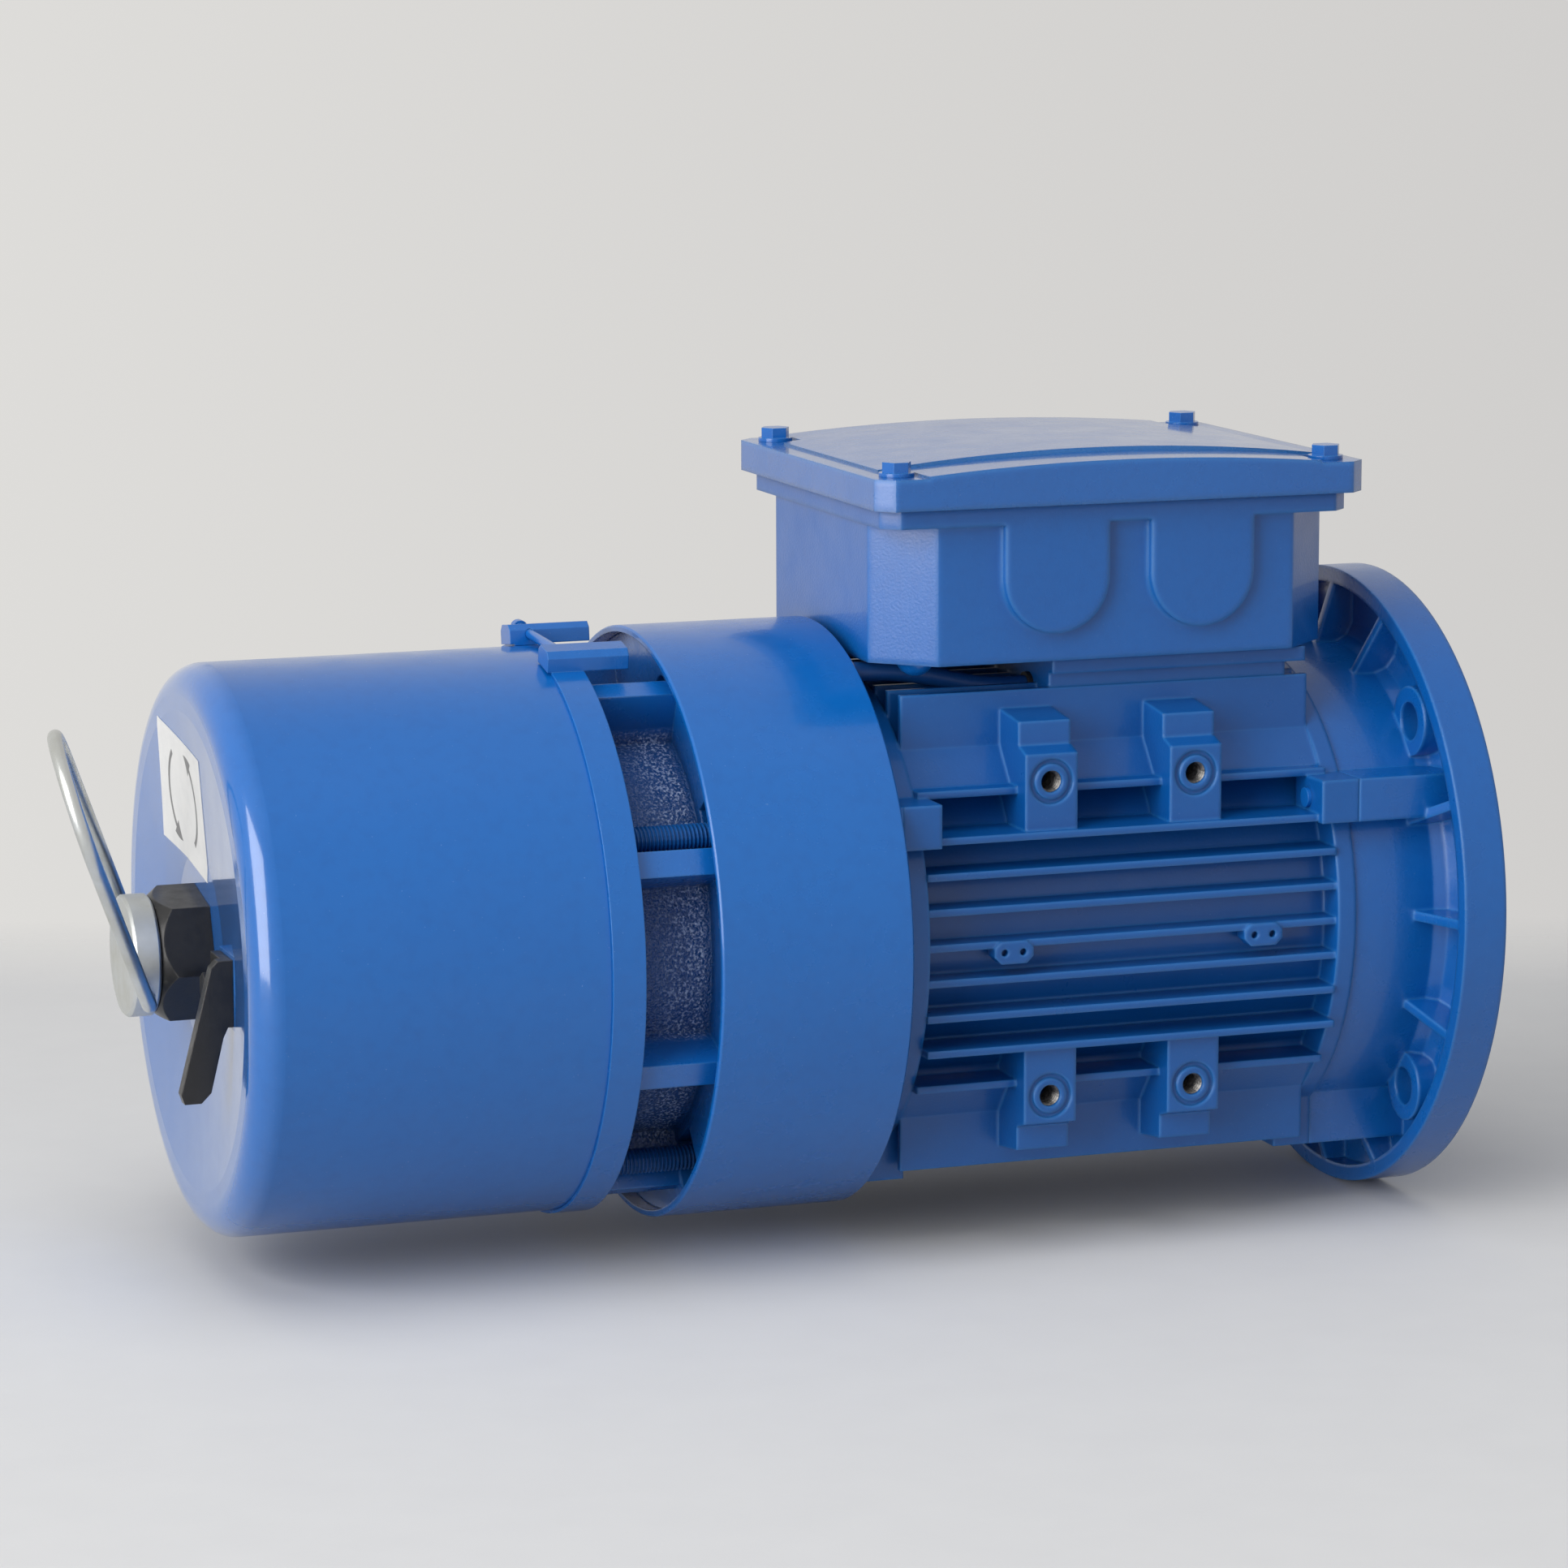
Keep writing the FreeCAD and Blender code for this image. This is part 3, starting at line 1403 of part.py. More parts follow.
def lug_place(drawn, side):
    """A bar on the band at one side of its split, chamfered along its outer edges."""
    angle = d.band_split_angle + side * d.band_split / 2
    low = cover_r + d.band_t / 2
    high = cover_r + d.fit_gap + d.band_t + d.band_lug_tall
    chamfer = d.band_lug_chamfer
    width = d.band_lug_w
    corners = [
        (low, 0), (high - chamfer, 0), (high, chamfer),
        (high, width - chamfer), (high - chamfer, width), (low, width),
    ]
    polygon(drawn, [
        (-along * cos(angle) + side * across * sin(angle), along * sin(angle) + side * across * cos(angle))
        for along, across in corners
    ])


def clamp_span(across):
    """How far along the clamp screw a lug's face lies, for a depth across the lug."""
    half = d.band_split / 2
    return clamp_height() * sin(half) / cos(half) + across / cos(half)


def clamp_height():
    return cover_r + d.clamp_screw_r + 2 * d.run_gap


def clamp_rod(name, radius, past, start=None):
    """A round bar along the clamp screw, from the middle of the near lug to past the far one."""
    angle = d.band_split_angle
    height = clamp_height()
    low = -clamp_span(d.band_lug_w / 2) if start is None else start
    length = clamp_span(d.band_lug_w) + past - low
    base = (band_rear + d.band_w / 2,
            low * sin(angle) - height * cos(angle), height * sin(angle) + low * cos(angle))
    bar = rod(name, base, length, radius, "Y")
    turn = FreeCAD.Rotation(Vector(1, 0, 0), 90 - value(angle))
    place(bar, base, turn.multiply(AXES["Y"]))
    return bar


def clamp_screw():
    lean = d.clamp_head_r * sin(d.band_split / 2)
    seat = clamp_span(d.band_lug_w) + lean
    shank = clamp_rod("clamp_screw", d.clamp_screw_r, lean + 1)
    head = clamp_rod("clamp_head", d.clamp_head_r, lean + d.clamp_head_t, seat)
    node("clamp_screw", fuse("clamp_screw", [shank, head]))


# Spring-applied disc brake


def drilled_ring(name, start, length, outer, inner, holes):
    """A turned ring with round holes along the axis, each a (place, radius) pair."""
    part = ring_body(name, start, length, outer, inner)
    drawn = sketch(part, "YZ_Plane", start)
    for (y, z), radius in holes:
        circle(drawn, y, z, radius)
    pocket(part, drawn, length)
    return part


def pull_pin_places():
    return list(around(d.pull_pin_circle_r, 2, d.pull_pin_angle))


def brake_plates():
    screw_hole = d.brake_screw_r + d.fit_gap
    drilled_ring("friction_plate", friction_plate_rear, d.friction_plate_t,
                 d.friction_plate_r, d.friction_plate_in_r,
                 [(place_of, screw_hole) for place_of in brake_screw_places()])
    sleeve_hole = d.sleeve_r + d.run_gap
    holes = [(place_of, sleeve_hole) for place_of in brake_screw_places()]
    holes += [(place_of, d.pull_pin_r + d.fit_gap) for place_of in pull_pin_places()]
    drilled_ring("armature_plate", armature_rear, d.armature_t, d.armature_r, d.armature_in_r, holes)
    magnet_holes = [(place_of, screw_hole) for place_of in brake_screw_places()]
    magnet_holes += [(place_of, d.pull_pin_r + d.pull_pin_clear) for place_of in pull_pin_places()]
    magnet = drilled_ring("brake_magnet", magnet_rear, d.magnet_t, d.magnet_r, d.magnet_in_r, magnet_holes)
    channel = sketch(magnet, "YZ_Plane", magnet_front - d.coil_depth)
    circle(channel, 0, 0, d.coil_out_r)
    circle(channel, 0, 0, d.coil_in_r)
    pocket(magnet, channel, d.coil_depth)
    wells = sketch(magnet, "YZ_Plane", magnet_front - d.spring_depth)
    for y, z in around(d.spring_circle_r, d.spring_count):
        circle(wells, y, z, d.spring_r + d.run_gap)
    pocket(magnet, wells, d.spring_depth)
    ring_body("brake_coil", magnet_front - d.coil_depth, d.coil_depth - 1,
              d.coil_out_r - d.fit_gap, d.coil_in_r + d.fit_gap)


def brake_fasteners():
    screws = []
    sleeves = []
    grip_end = bracket_rear + d.brake_screw_grip
    for y, z in brake_screw_places():
        shank = rod("brake_screw", (magnet_rear - 1, y, z), grip_end - magnet_rear + 1, d.brake_screw_r)
        head = hex_bar("brake_screw", (magnet_rear - d.brake_screw_head, y, z),
                       d.brake_screw_head, d.brake_screw_flats)
        screws.append(fuse("brake_screw", [shank, head]))
        sleeves.append(tube("brake_sleeve", (magnet_front, y, z), friction_plate_rear - magnet_front,
                            d.sleeve_r, d.brake_screw_r + d.fit_gap))
    group("brake_screws", screws)
    group("brake_sleeves", sleeves)
    springs = []
    for y, z in around(d.spring_circle_r, d.spring_count):
        length = d.spring_depth + d.magnet_gap
        springs.append(tube("pressure_spring", (magnet_front - d.spring_depth, y, z), length,
                            d.spring_r, d.spring_r - d.spring_wall))
    group("pressure_springs", springs)


def square(drawn, half):
    return rectangle(drawn, -half, -half, half, half)


def brake_rotor():
    hub = body("brake_hub")
    drawn = square(sketch(hub, "YZ_Plane", hub_rear), d.hub_half)
    circle(drawn, 0, 0, d.shaft_tail_r + d.fit_gap)
    pad(hub, drawn, d.hub_len)
    disc = body("friction_disc")
    carrier = circle(sketch(disc, "YZ_Plane", friction_disc_rear + d.lining_t), 0, 0, d.friction_disc_r)
    square(carrier, d.hub_half + d.hub_gap)
    pad(disc, carrier, d.friction_disc_t - 2 * d.lining_t)
    for start in (friction_disc_rear, friction_disc_front - d.lining_t):
        lining = sketch(disc, "YZ_Plane", start)
        circle(lining, 0, 0, d.friction_disc_r)
        circle(lining, 0, 0, d.lining_in_r)
        pad(disc, lining, d.lining_t)
    ring_body("hub_circlip", hub_rear - d.circlip_t, d.circlip_t,
              d.shaft_tail_r + d.circlip_w, d.shaft_tail_r + d.fit_gap)
    ring_body("dust_ring", hub_front, d.dust_ring_len,
              d.dust_ring_r, d.shaft_tail_r + d.fit_gap)


# Hand release: pins pull the armature back when the knob turns the spindle's cam


def hand_release():
    pins = []
    for y, z in pull_pin_places():
        pins.append(rod("release_pin", (yoke_rear, y, z), armature_front - yoke_rear, d.pull_pin_r))
    group("release_pins", pins)
    yoke = body("release_yoke")
    reach = d.pull_pin_circle_r + d.yoke_end
    bar = octagon(sketch(yoke, "YZ_Plane", yoke_rear), -reach, -d.yoke_half_w, reach, d.yoke_half_w, 6)
    pad(yoke, bar, d.yoke_t)
    pad(yoke, circle(sketch(yoke, "YZ_Plane", yoke_rear), 0, 0, d.yoke_hub_r), d.yoke_t)
    holes = circle(sketch(yoke, "YZ_Plane", yoke_rear), 0, 0, d.spindle_r + d.run_gap)
    for y, z in pull_pin_places():
        circle(holes, y, z, d.pull_pin_r + d.fit_gap)
    pocket(yoke, holes, d.yoke_t)
    spindle = body("release_spindle")
    cam_front = yoke_front + d.run_gap + d.cam_t
    revolve(spindle, [
        (cam_front, 0),
        (cam_front, d.cam_r),
        (yoke_front + d.run_gap, d.cam_r),
        (yoke_front + d.run_gap, d.spindle_r),
        (knob_front, d.spindle_r),
        (knob_front, 0),
    ])
    bush = hex_bar("hex_bush", (bush_rear, 0, 0), d.bush_t, d.bush_flats, "X", d.bush_turn)
    cone_r = d.bush_flats / math.sqrt(3)
    corner = doc.addObject("Part::Cone", "hex_bush_corner")
    place(corner, (bush_rear, 0, 0), AXES["X"])
    tie(corner, "Radius1", d.bush_flats / 2 * 0.97)
    tie(corner, "Radius2", cone_r + d.bush_t)
    tie(corner, "Height", d.bush_t * 1.5)
    turned_bush = doc.addObject("Part::Common", "hex_bush_turned")
    turned_bush.Base = bush
    turned_bush.Tool = corner
    neck = rod("hex_bush", (dish_face, 0, 0), d.bush_neck_len, d.bush_neck_r)
    bore_len = d.bush_t + d.bush_neck_len
    bore = rod("hex_bush", (bush_rear, 0, 0), bore_len, d.spindle_r + d.spindle_gap)
    node("hex_bush", cut("hex_bush", fuse("hex_bush", [turned_bush, neck]), bore))


def bail_rotation():
    about_axis = FreeCAD.Rotation(Vector(1, 0, 0), value(d.bail_turn))
    return about_axis.multiply(FreeCAD.Rotation(Vector(0, 0, 1), value(d.bail_fold)))


def release_knob():
    """A turned head with one hole straight across it for the bail's bent ends."""
    name = "release_knob"
    soft = d.knob_chamfer
    head = draft("knob_head")
    revolve(head, [
        (knob_front, 0), (knob_front, d.knob_r - soft), (knob_front - soft, d.knob_r),
        (knob_rear + soft, d.knob_r), (knob_rear, d.knob_r - soft), (knob_rear, 0),
    ])
    across = rod(name, (0, 0, 0), 2 * d.knob_r + 2, d.bail_wire_r + d.bail_hole_gap, "Z")
    turn = FreeCAD.Rotation(Vector(1, 0, 0), value(d.bail_turn))
    place(across, (bail_pivot, (d.knob_r + 1) * sin(d.bail_turn), -(d.knob_r + 1) * cos(d.bail_turn)), turn)
    node(name, cut(name, head, across))


def release_bail():
    """A bent wire: a half-round end, two legs, and ends turned in towards each other."""
    name = "release_bail"
    wire = d.bail_wire_r
    half = d.bail_half_w
    bend = d.bail_bend_r
    leg = d.bail_len - half - bend
    pieces = []
    tip = doc.addObject("Part::Torus", name + "_tip")
    tie(tip, "Radius1", half)
    tie(tip, "Radius2", wire)
    tip.Angle3 = 180
    place(tip, (-bend - leg, 0, 0), FreeCAD.Rotation(Vector(0, 0, 1), Vector(0, -1, 0)))
    tip.Placement.Rotation = FreeCAD.Rotation(Vector(0, 0, 1), Vector(-1, 0, 0), Vector(0, -1, 0), "ZXY")
    pieces.append(tip)
    for side in SIDES:
        straight = rod(name, (-bend - leg, 0, side * half), leg, wire)
        pin_start = side * (half - bend)
        pin = rod(name, (0, 0, pin_start - d.bail_grip if side > 0 else pin_start), d.bail_grip, wire, "Z")
        elbow = doc.addObject("Part::Torus", name + "_elbow")
        tie(elbow, "Radius1", bend)
        tie(elbow, "Radius2", wire)
        elbow.Angle3 = 90
        place(elbow, (-bend, 0, side * (half - bend)), AXES["Z"])
        x_axis = Vector(1, 0, 0) if side > 0 else Vector(0, 0, -1)
        y_axis = Vector(0, 0, 1) if side > 0 else Vector(1, 0, 0)
        elbow.Placement.Rotation = FreeCAD.Rotation(x_axis, y_axis, x_axis.cross(y_axis), "XYZ")
        pieces += [straight, pin, elbow]
    bail = fuse(name, pieces)
    place(bail, (bail_pivot, 0, 0), bail_rotation())
    node(name, bail)


def catch_screw_place():
    y = -d.catch_y + d.catch_t / 2 + d.catch_foot_len * 0.55
    return y, (d.catch_top - d.catch_root) / 2


def bail_catch():
    part = body("bail_catch")
    face = catch_seat
    lean = d.catch_lean
    finger = d.catch_finger_w
    plate = polygon(sketch(part, "XZ_Plane", d.catch_y - d.catch_t / 2), [
        (face, d.catch_top),
        (face - d.catch_base + 2, d.catch_top),
        (face - d.catch_base, d.catch_top - 2),
        (face - lean, -d.catch_drop + 3),
        (face - lean + 1, -d.catch_drop),
        (face - lean + finger - 3, -d.catch_drop),
        (face - lean + finger, -d.catch_drop + 3),
        (face - lean / 5, -d.catch_root - 3),
        (face - lean / 9, -d.catch_root),
        (face, -d.catch_root),
    ])
    pad(part, plate, d.catch_t)
    foot = rectangle(sketch(part, "YZ_Plane", face - d.catch_foot_t),
                     -d.catch_y, -d.catch_root, -d.catch_y + d.catch_foot_len, d.catch_top)
    pad(part, foot, d.catch_foot_t)
    hole = circle(sketch(part, "YZ_Plane", face - d.catch_foot_t),
                  *catch_screw_place(), d.catch_screw_r + d.fit_gap)
    pocket(part, hole, d.catch_foot_t)
    y, z = catch_screw_place()
    seat = face - d.catch_foot_t
    shank = rod("catch_screw", (seat - 1, y, z), d.catch_screw_len + 1, d.catch_screw_r)
    head = hex_bar("catch_screw", (seat - d.catch_screw_head, y, z), d.catch_screw_head, d.catch_screw_flats)
    node("catch_screw", fuse("catch_screw", [shank, head]))


# Terminal box with its lid, gaskets and screws


def box_outline(drawn, end, side, corner):
    """The box's plan outline, grown past its walls by end and side."""
    half = d.box_half_w + side
    return octagon(drawn, box_rear - end, -half, -d.box_front + end, half, corner)


def lid_screw_places():
    for along in SIDES:
        for side in SIDES:
            yield (box_mid + along * (d.box_len / 2 - d.lid_screw_end_inset),
                   side * (d.box_half_w - d.lid_screw_side_inset))


def terminal_box():
    part = body("terminal_box")
    walls = box_outline(sketch(part, "XY_Plane", d.box_bottom), 0, 0, d.box_corner)
    pad(part, walls, d.box_wall_top - d.box_bottom)
    rim = box_outline(sketch(part, "XY_Plane", d.box_wall_top),
                      d.rim_end_overhang, d.rim_overhang, d.rim_corner)
    pad(part, rim, d.box_top - d.box_wall_top)
    for side in SIDES:
        for step in SIDES:
            x = box_mid + d.entry_pad_shift + step * d.entry_pad_pitch / 2
            add_entry_pad(part, x, side)
    well = box_outline(sketch(part, "XY_Plane", floor_top), -d.box_wall, -d.box_wall,
                       d.box_corner)
    pocket(part, well, d.box_top - floor_top)
    floor = sketch(part, "XY_Plane", d.box_bottom)
    slot_front = -d.pedestal_front - d.pedestal_wall
    rectangle(floor, slot_front - d.lead_slot_len, -d.lead_slot_half_w, slot_front, d.lead_slot_half_w)
    for x, y in box_screw_places():
        circle(floor, x, y, d.box_screw_r + d.fit_gap)
    circle(floor, plug_x, plug_y, d.plug_thread_r + d.fit_gap)
    pocket(part, floor, d.box_floor_t)
    threads = sketch(part, "XY_Plane", d.box_top)
    for x, y in lid_screw_places():
        circle(threads, x, y, d.lid_screw_r + d.fit_gap)
    pocket(part, threads, d.box_top - d.box_wall_top + 1, against=True)


def add_entry_pad(part, x, side):
    """A raised pad with a round lower end, flush with the rim, where a cable entry can be drilled."""
    half = d.entry_pad_w / 2
    start = d.box_half_w - 1 if side < 0 else -d.box_half_w - d.rim_overhang
    upper = rectangle(sketch(part, "XZ_Plane", start),
                      x - half, d.entry_pad_low + half, x + half, d.box_wall_top)
    pad(part, upper, d.rim_overhang + 1)
    lower = circle(sketch(part, "XZ_Plane", start), x, d.entry_pad_low + half, half)
    pad(part, lower, d.rim_overhang + 1)


def frame_gasket(name, low, thickness, outer, inner, holes, hole_r):
    """A flat gasket between two plan outlines, with screw holes."""
    part = body(name)
    drawn = sketch(part, "XY_Plane", low)
    octagon(drawn, *outer)
    octagon(drawn, *inner)
    for x, y in holes:
        circle(drawn, x, y, hole_r)
    pad(part, drawn, thickness)


def gaskets():
    wall = d.pedestal_wall
    half = d.pedestal_half_w
    back = pedestal_rear
    front = -d.pedestal_front
    frame_gasket("box_gasket", d.pedestal_top, d.box_bottom - d.pedestal_top,
                 (back, -half, front, half, Size.of(1)),
                 (back + wall, -half + wall, front - wall, half - wall, d.pedestal_corner),
                 list(box_screw_places()), d.box_screw_r + d.fit_gap)
    end = d.rim_end_overhang
    side = d.box_half_w + d.rim_overhang
    inner = d.box_half_w - d.box_wall
    frame_gasket("lid_gasket", d.box_top, d.lid_gasket_t,
                 (box_rear - end, -side, -d.box_front + end, side, d.rim_corner),
                 (box_rear + d.box_wall, -inner, -d.box_front - d.box_wall, inner, d.box_corner),
                 list(lid_screw_places()), d.lid_screw_r + d.fit_gap)


def terminal_lid():
    part = body("terminal_lid")
    plate = box_outline(sketch(part, "XY_Plane", lid_bottom), d.lid_end_overhang, d.lid_overhang, d.lid_corner)
    pad(part, plate, d.lid_t)
    crown_half = d.box_half_w + d.lid_overhang
    x0 = box_rear - d.lid_end_overhang + d.crown_inset
    x1 = -d.box_front + d.lid_end_overhang - d.crown_inset
    crown = arch(sketch(part, "XZ_Plane", -crown_half), x0, x1, lid_bottom + 1, lid_top, d.crown_rise)
    pad(part, crown, 2 * crown_half)
    panel = arch(sketch(part, "XZ_Plane", -d.panel_half_w), x0, x1, lid_bottom + 1,
                 lid_top + d.panel_proud / 2, d.crown_rise + d.panel_proud / 2)
    pad(part, panel, 2 * d.panel_half_w)
    hollow = box_outline(sketch(part, "XY_Plane", lid_bottom), -d.box_wall, -d.box_wall, d.box_corner)
    pocket(part, hollow, d.lid_t - d.lid_wall)
    holes = sketch(part, "XY_Plane", lid_bottom)
    for x, y in lid_screw_places():
        circle(holes, x, y, d.lid_screw_r + d.fit_gap)
    pocket(part, holes, d.lid_t + d.crown_rise)
    flats = sketch(part, "XY_Plane", lid_top)
    long_reach = d.box_len / 2 + d.lid_end_overhang + 1
    for along in SIDES:
        inner = d.box_len / 2 - d.lid_screw_end_inset - d.lid_screw_flange_r - 1
        for side in SIDES:
            rectangle(flats, box_mid + along * inner,
                      side * (d.box_half_w - d.lid_screw_side_inset - d.lid_screw_flange_r - 1),
                      box_mid + along * long_reach, side * (crown_half + 1))
    pocket(part, flats, d.crown_rise)


def box_fasteners():
    lid_screws = []
    for x, y in lid_screw_places():
        low = d.box_wall_top
        shank = rod("lid_screw", (x, y, low), lid_top - low + 1, d.lid_screw_r, "Z")
        flange = rod("lid_screw", (x, y, lid_top), d.lid_screw_flange_t, d.lid_screw_flange_r, "Z")
        head = hex_bar("lid_screw", (x, y, lid_top), d.lid_screw_head, d.lid_screw_flats, "Z")
        lid_screws.append(fuse("lid_screw", [shank, flange, head]))
    group("lid_screws", lid_screws)
    box_screws = []
    for x, y in box_screw_places():
        low = d.pedestal_top - d.box_screw_len + 1
        shank = rod("box_screw", (x, y, low), floor_top - low + 1, d.box_screw_r, "Z")
        head = rod("box_screw", (x, y, floor_top), d.box_screw_head, d.box_screw_head_r, "Z")
        box_screws.append(fuse("box_screw", [shank, head]))
    group("box_screws", box_screws)


# Terminal board, its studs and links, and the brake's rectifier


def terminal_places():
    for column in (-1, 0, 1):
        for side in SIDES:
            yield column, box_mid + column * d.terminal_pitch, side * d.terminal_row


def terminals():
    board_top = floor_top + d.board_t
    board_rear = box_mid - d.board_len / 2
    base = block("terminal_board", (board_rear, -d.board_half_w, floor_top),
                 d.board_len, 2 * d.board_half_w, d.board_t)
    holes = []
    studs = []
    for _, x, y in terminal_places():
        foot = board_top - d.terminal_len / 2
        holes.append(rod("terminal_board", (x, y, foot), d.board_t, d.terminal_r + d.fit_gap, "Z"))
        stud = rod("terminal_stud", (x, y, foot), d.terminal_len * 1.5, d.terminal_r, "Z")
        nut = hex_bar("terminal_stud", (x, y, board_top + d.link_t), d.terminal_nut_t,
                      d.terminal_nut_flats, "Z")
        studs.append(fuse("terminal_stud", [stud, nut]))
    node("terminal_board", cut("terminal_board", base, fuse("terminal_board", holes)))
    group("terminal_studs", studs)
    links = []
    for column in (-1, 0, 1):
        x = box_mid + column * d.terminal_pitch
        reach = d.terminal_row + d.link_end
        plate = block("terminal_link", (x - d.link_w / 2, -reach, board_top),
                      d.link_w, 2 * reach, d.link_t)
        pair = [rod("terminal_link", (x, side * d.terminal_row, board_top), d.link_t,
                    d.terminal_r + d.fit_gap, "Z") for side in SIDES]
        links.append(cut("terminal_link", plate, fuse("terminal_link", pair)))
    group("terminal_links", links)
    half = d.rectifier_half_w
    node("rectifier", block("rectifier", (box_rear + d.rectifier_end_gap, -half, floor_top),
                            d.rectifier_len, 2 * half, d.rectifier_t))


# Plug under the box, and the brake's lead from the pedestal to the magnet


def entry_plug():
    x = plug_x
    y = plug_y
    thread = rod("entry_plug", (x, y, d.box_bottom - 1), d.box_floor_t + 1, d.plug_thread_r, "Z")
    dome = ball("entry_plug", (x, y, d.box_bottom - d.plug_dome + d.plug_r), d.plug_r)
    above = block("entry_plug", (x - d.plug_r, y - d.plug_r, d.box_bottom),
                  2 * d.plug_r, 2 * d.plug_r, 3 * d.plug_r)
    node("entry_plug", fuse("entry_plug", [thread, cut("entry_plug", dome, above)]))


def lead_route():
    """Points of the lead, from inside the pedestal over the frame's rear end to the magnet."""
    y, z = (value(size) for size in lead_brake_place())
    side = -value(lead_y)
    wall_z = value(lead_wall_z)
    rear = value(frame_rear)
    over = value(d.ring_r)
    return [
        Vector(value(pedestal_rear) + 8, side, wall_z),
        Vector(value(pedestal_rear) - 16, side, wall_z),
        Vector(rear + 18, side, over + 2),
        Vector(rear - 14, side + 3, over + 2.5),
        Vector(value(disc_front) + 9, y - 1.3, z + 3.5),
        Vector(value(disc_rear) - 15, y, z),
        Vector(value(magnet_front), y, z),
    ]


def brake_lead():
    points = lead_route()
    edges = []
    start = points[0]
    for before, corner, after in zip(points, points[1:], points[2:]):
        into = (corner - before).normalize()
        out = (after - corner).normalize()
        reach = 0.45 * min((corner - before).Length, (after - corner).Length)
        arc_start = corner - into * reach
        arc_end = corner + out * reach
        half_turn = into.getAngle(out) / 2
        inward = (out - into).normalize()
        radius = reach / math.tan(half_turn)
        middle = corner + inward * (radius / math.cos(half_turn) - radius)
        edges.append(Part.LineSegment(start, arc_start).toShape())
        edges.append(Part.Arc(arc_start, middle, arc_end).toShape())
        start = arc_end
    edges.append(Part.LineSegment(start, points[-1]).toShape())
    path = Part.Wire(edges)
    first_run = points[1] - points[0]
    section = Part.Wire([Part.makeCircle(value(d.lead_r), points[0], first_run)])
    lead = doc.addObject("Part::Feature", "brake_lead")
    lead.Shape = path.makePipeShell([section], True, False)
    ratio = lead.Shape.Volume / (math.pi * value(d.lead_r) ** 2 * path.Length)
    if abs(ratio - 1) > 0.01:
        raise RuntimeError(f"the lead's volume is {ratio:.3f} of its section times its length")
    node("brake_lead", lead)
    neck = d.grommet_r - d.grommet_lip
    x = pedestal_rear
    lip = rod("lead_grommet", (x - d.grommet_lip_t, -lead_y, lead_wall_z), d.grommet_lip_t, d.grommet_r)
    sleeve = rod("lead_grommet", (x - 1, -lead_y, lead_wall_z), d.pedestal_wall + 1, neck)
    bore = rod("lead_grommet", (x - 2 * d.grommet_lip_t, -lead_y, lead_wall_z),
               d.pedestal_wall + 4 * d.grommet_lip_t, d.lead_r + d.fit_gap)
    node("lead_grommet", cut("lead_grommet", fuse("lead_grommet", [lip, sleeve]), bore))


# Build, check and write every piece

for build in (
    flange_shield, stator_frame, stator_core, stator_windings, bearings, shaft, rotor, rear_endshield,
    frame_fasteners, fan, fan_cowl, brake_bracket, brake_cover, clamp_band, clamp_screw, brake_plates,
    brake_fasteners, brake_rotor, hand_release, release_knob, release_bail, bail_catch, terminal_box,
    gaskets, terminal_lid, box_fasteners, terminals, entry_plug, brake_lead,
):
    build()
doc.recompute()

for thing in doc.Objects:
    if "Invalid" in thing.State or "Error" in thing.State:
        raise RuntimeError(f"{thing.Name} failed: {thing.State}")
    if thing.TypeId == "PartDesign::Pocket":
        if thing.Shape.Volume >= thing.BaseFeature.Shape.Volume - 1e-6:
            raise RuntimeError(f"{thing.Name} cuts nothing")
for piece in nodes:
    if piece.Shape.isNull() or not piece.Shape.isValid() or not piece.Shape.Solids:
        raise RuntimeError(f"{piece.Label} has no valid solid")

os.makedirs("parts", exist_ok=True)
for piece in nodes:
    piece.Shape.exportStep(os.path.join("parts", piece.Label + ".step"))
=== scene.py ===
import math

import bpy
from mathutils import Matrix, Vector


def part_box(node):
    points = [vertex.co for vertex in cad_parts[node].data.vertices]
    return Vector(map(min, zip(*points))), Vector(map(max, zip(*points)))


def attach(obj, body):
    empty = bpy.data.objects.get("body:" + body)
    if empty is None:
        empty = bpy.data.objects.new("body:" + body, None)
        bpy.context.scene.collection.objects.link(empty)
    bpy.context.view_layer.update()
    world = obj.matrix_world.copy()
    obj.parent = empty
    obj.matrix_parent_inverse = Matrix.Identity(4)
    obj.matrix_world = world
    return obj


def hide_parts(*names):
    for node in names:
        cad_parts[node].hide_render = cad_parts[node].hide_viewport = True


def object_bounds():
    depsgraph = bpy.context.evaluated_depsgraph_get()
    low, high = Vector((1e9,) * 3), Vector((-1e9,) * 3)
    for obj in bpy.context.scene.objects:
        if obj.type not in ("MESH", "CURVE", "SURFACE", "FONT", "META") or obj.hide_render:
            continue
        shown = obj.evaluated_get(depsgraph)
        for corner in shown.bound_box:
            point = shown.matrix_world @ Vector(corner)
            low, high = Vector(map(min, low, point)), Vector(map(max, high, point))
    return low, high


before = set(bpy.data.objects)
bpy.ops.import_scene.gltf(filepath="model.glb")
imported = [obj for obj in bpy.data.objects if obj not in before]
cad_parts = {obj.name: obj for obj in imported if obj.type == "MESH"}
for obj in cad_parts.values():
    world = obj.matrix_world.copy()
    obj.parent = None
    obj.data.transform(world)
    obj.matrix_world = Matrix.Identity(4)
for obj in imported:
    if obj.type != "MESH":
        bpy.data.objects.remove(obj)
cad_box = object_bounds()
bpy.ops.object.select_all(action="DESELECT")

# Stator frame: the finned aluminium die casting that holds the stator core, with threaded pads for feet.
# It is cast in one piece, machined in the bore and on the pads, and sprayed blue once the motor is
# together, so the film rounds its edges and keeps a fine grain from the casting's skin.


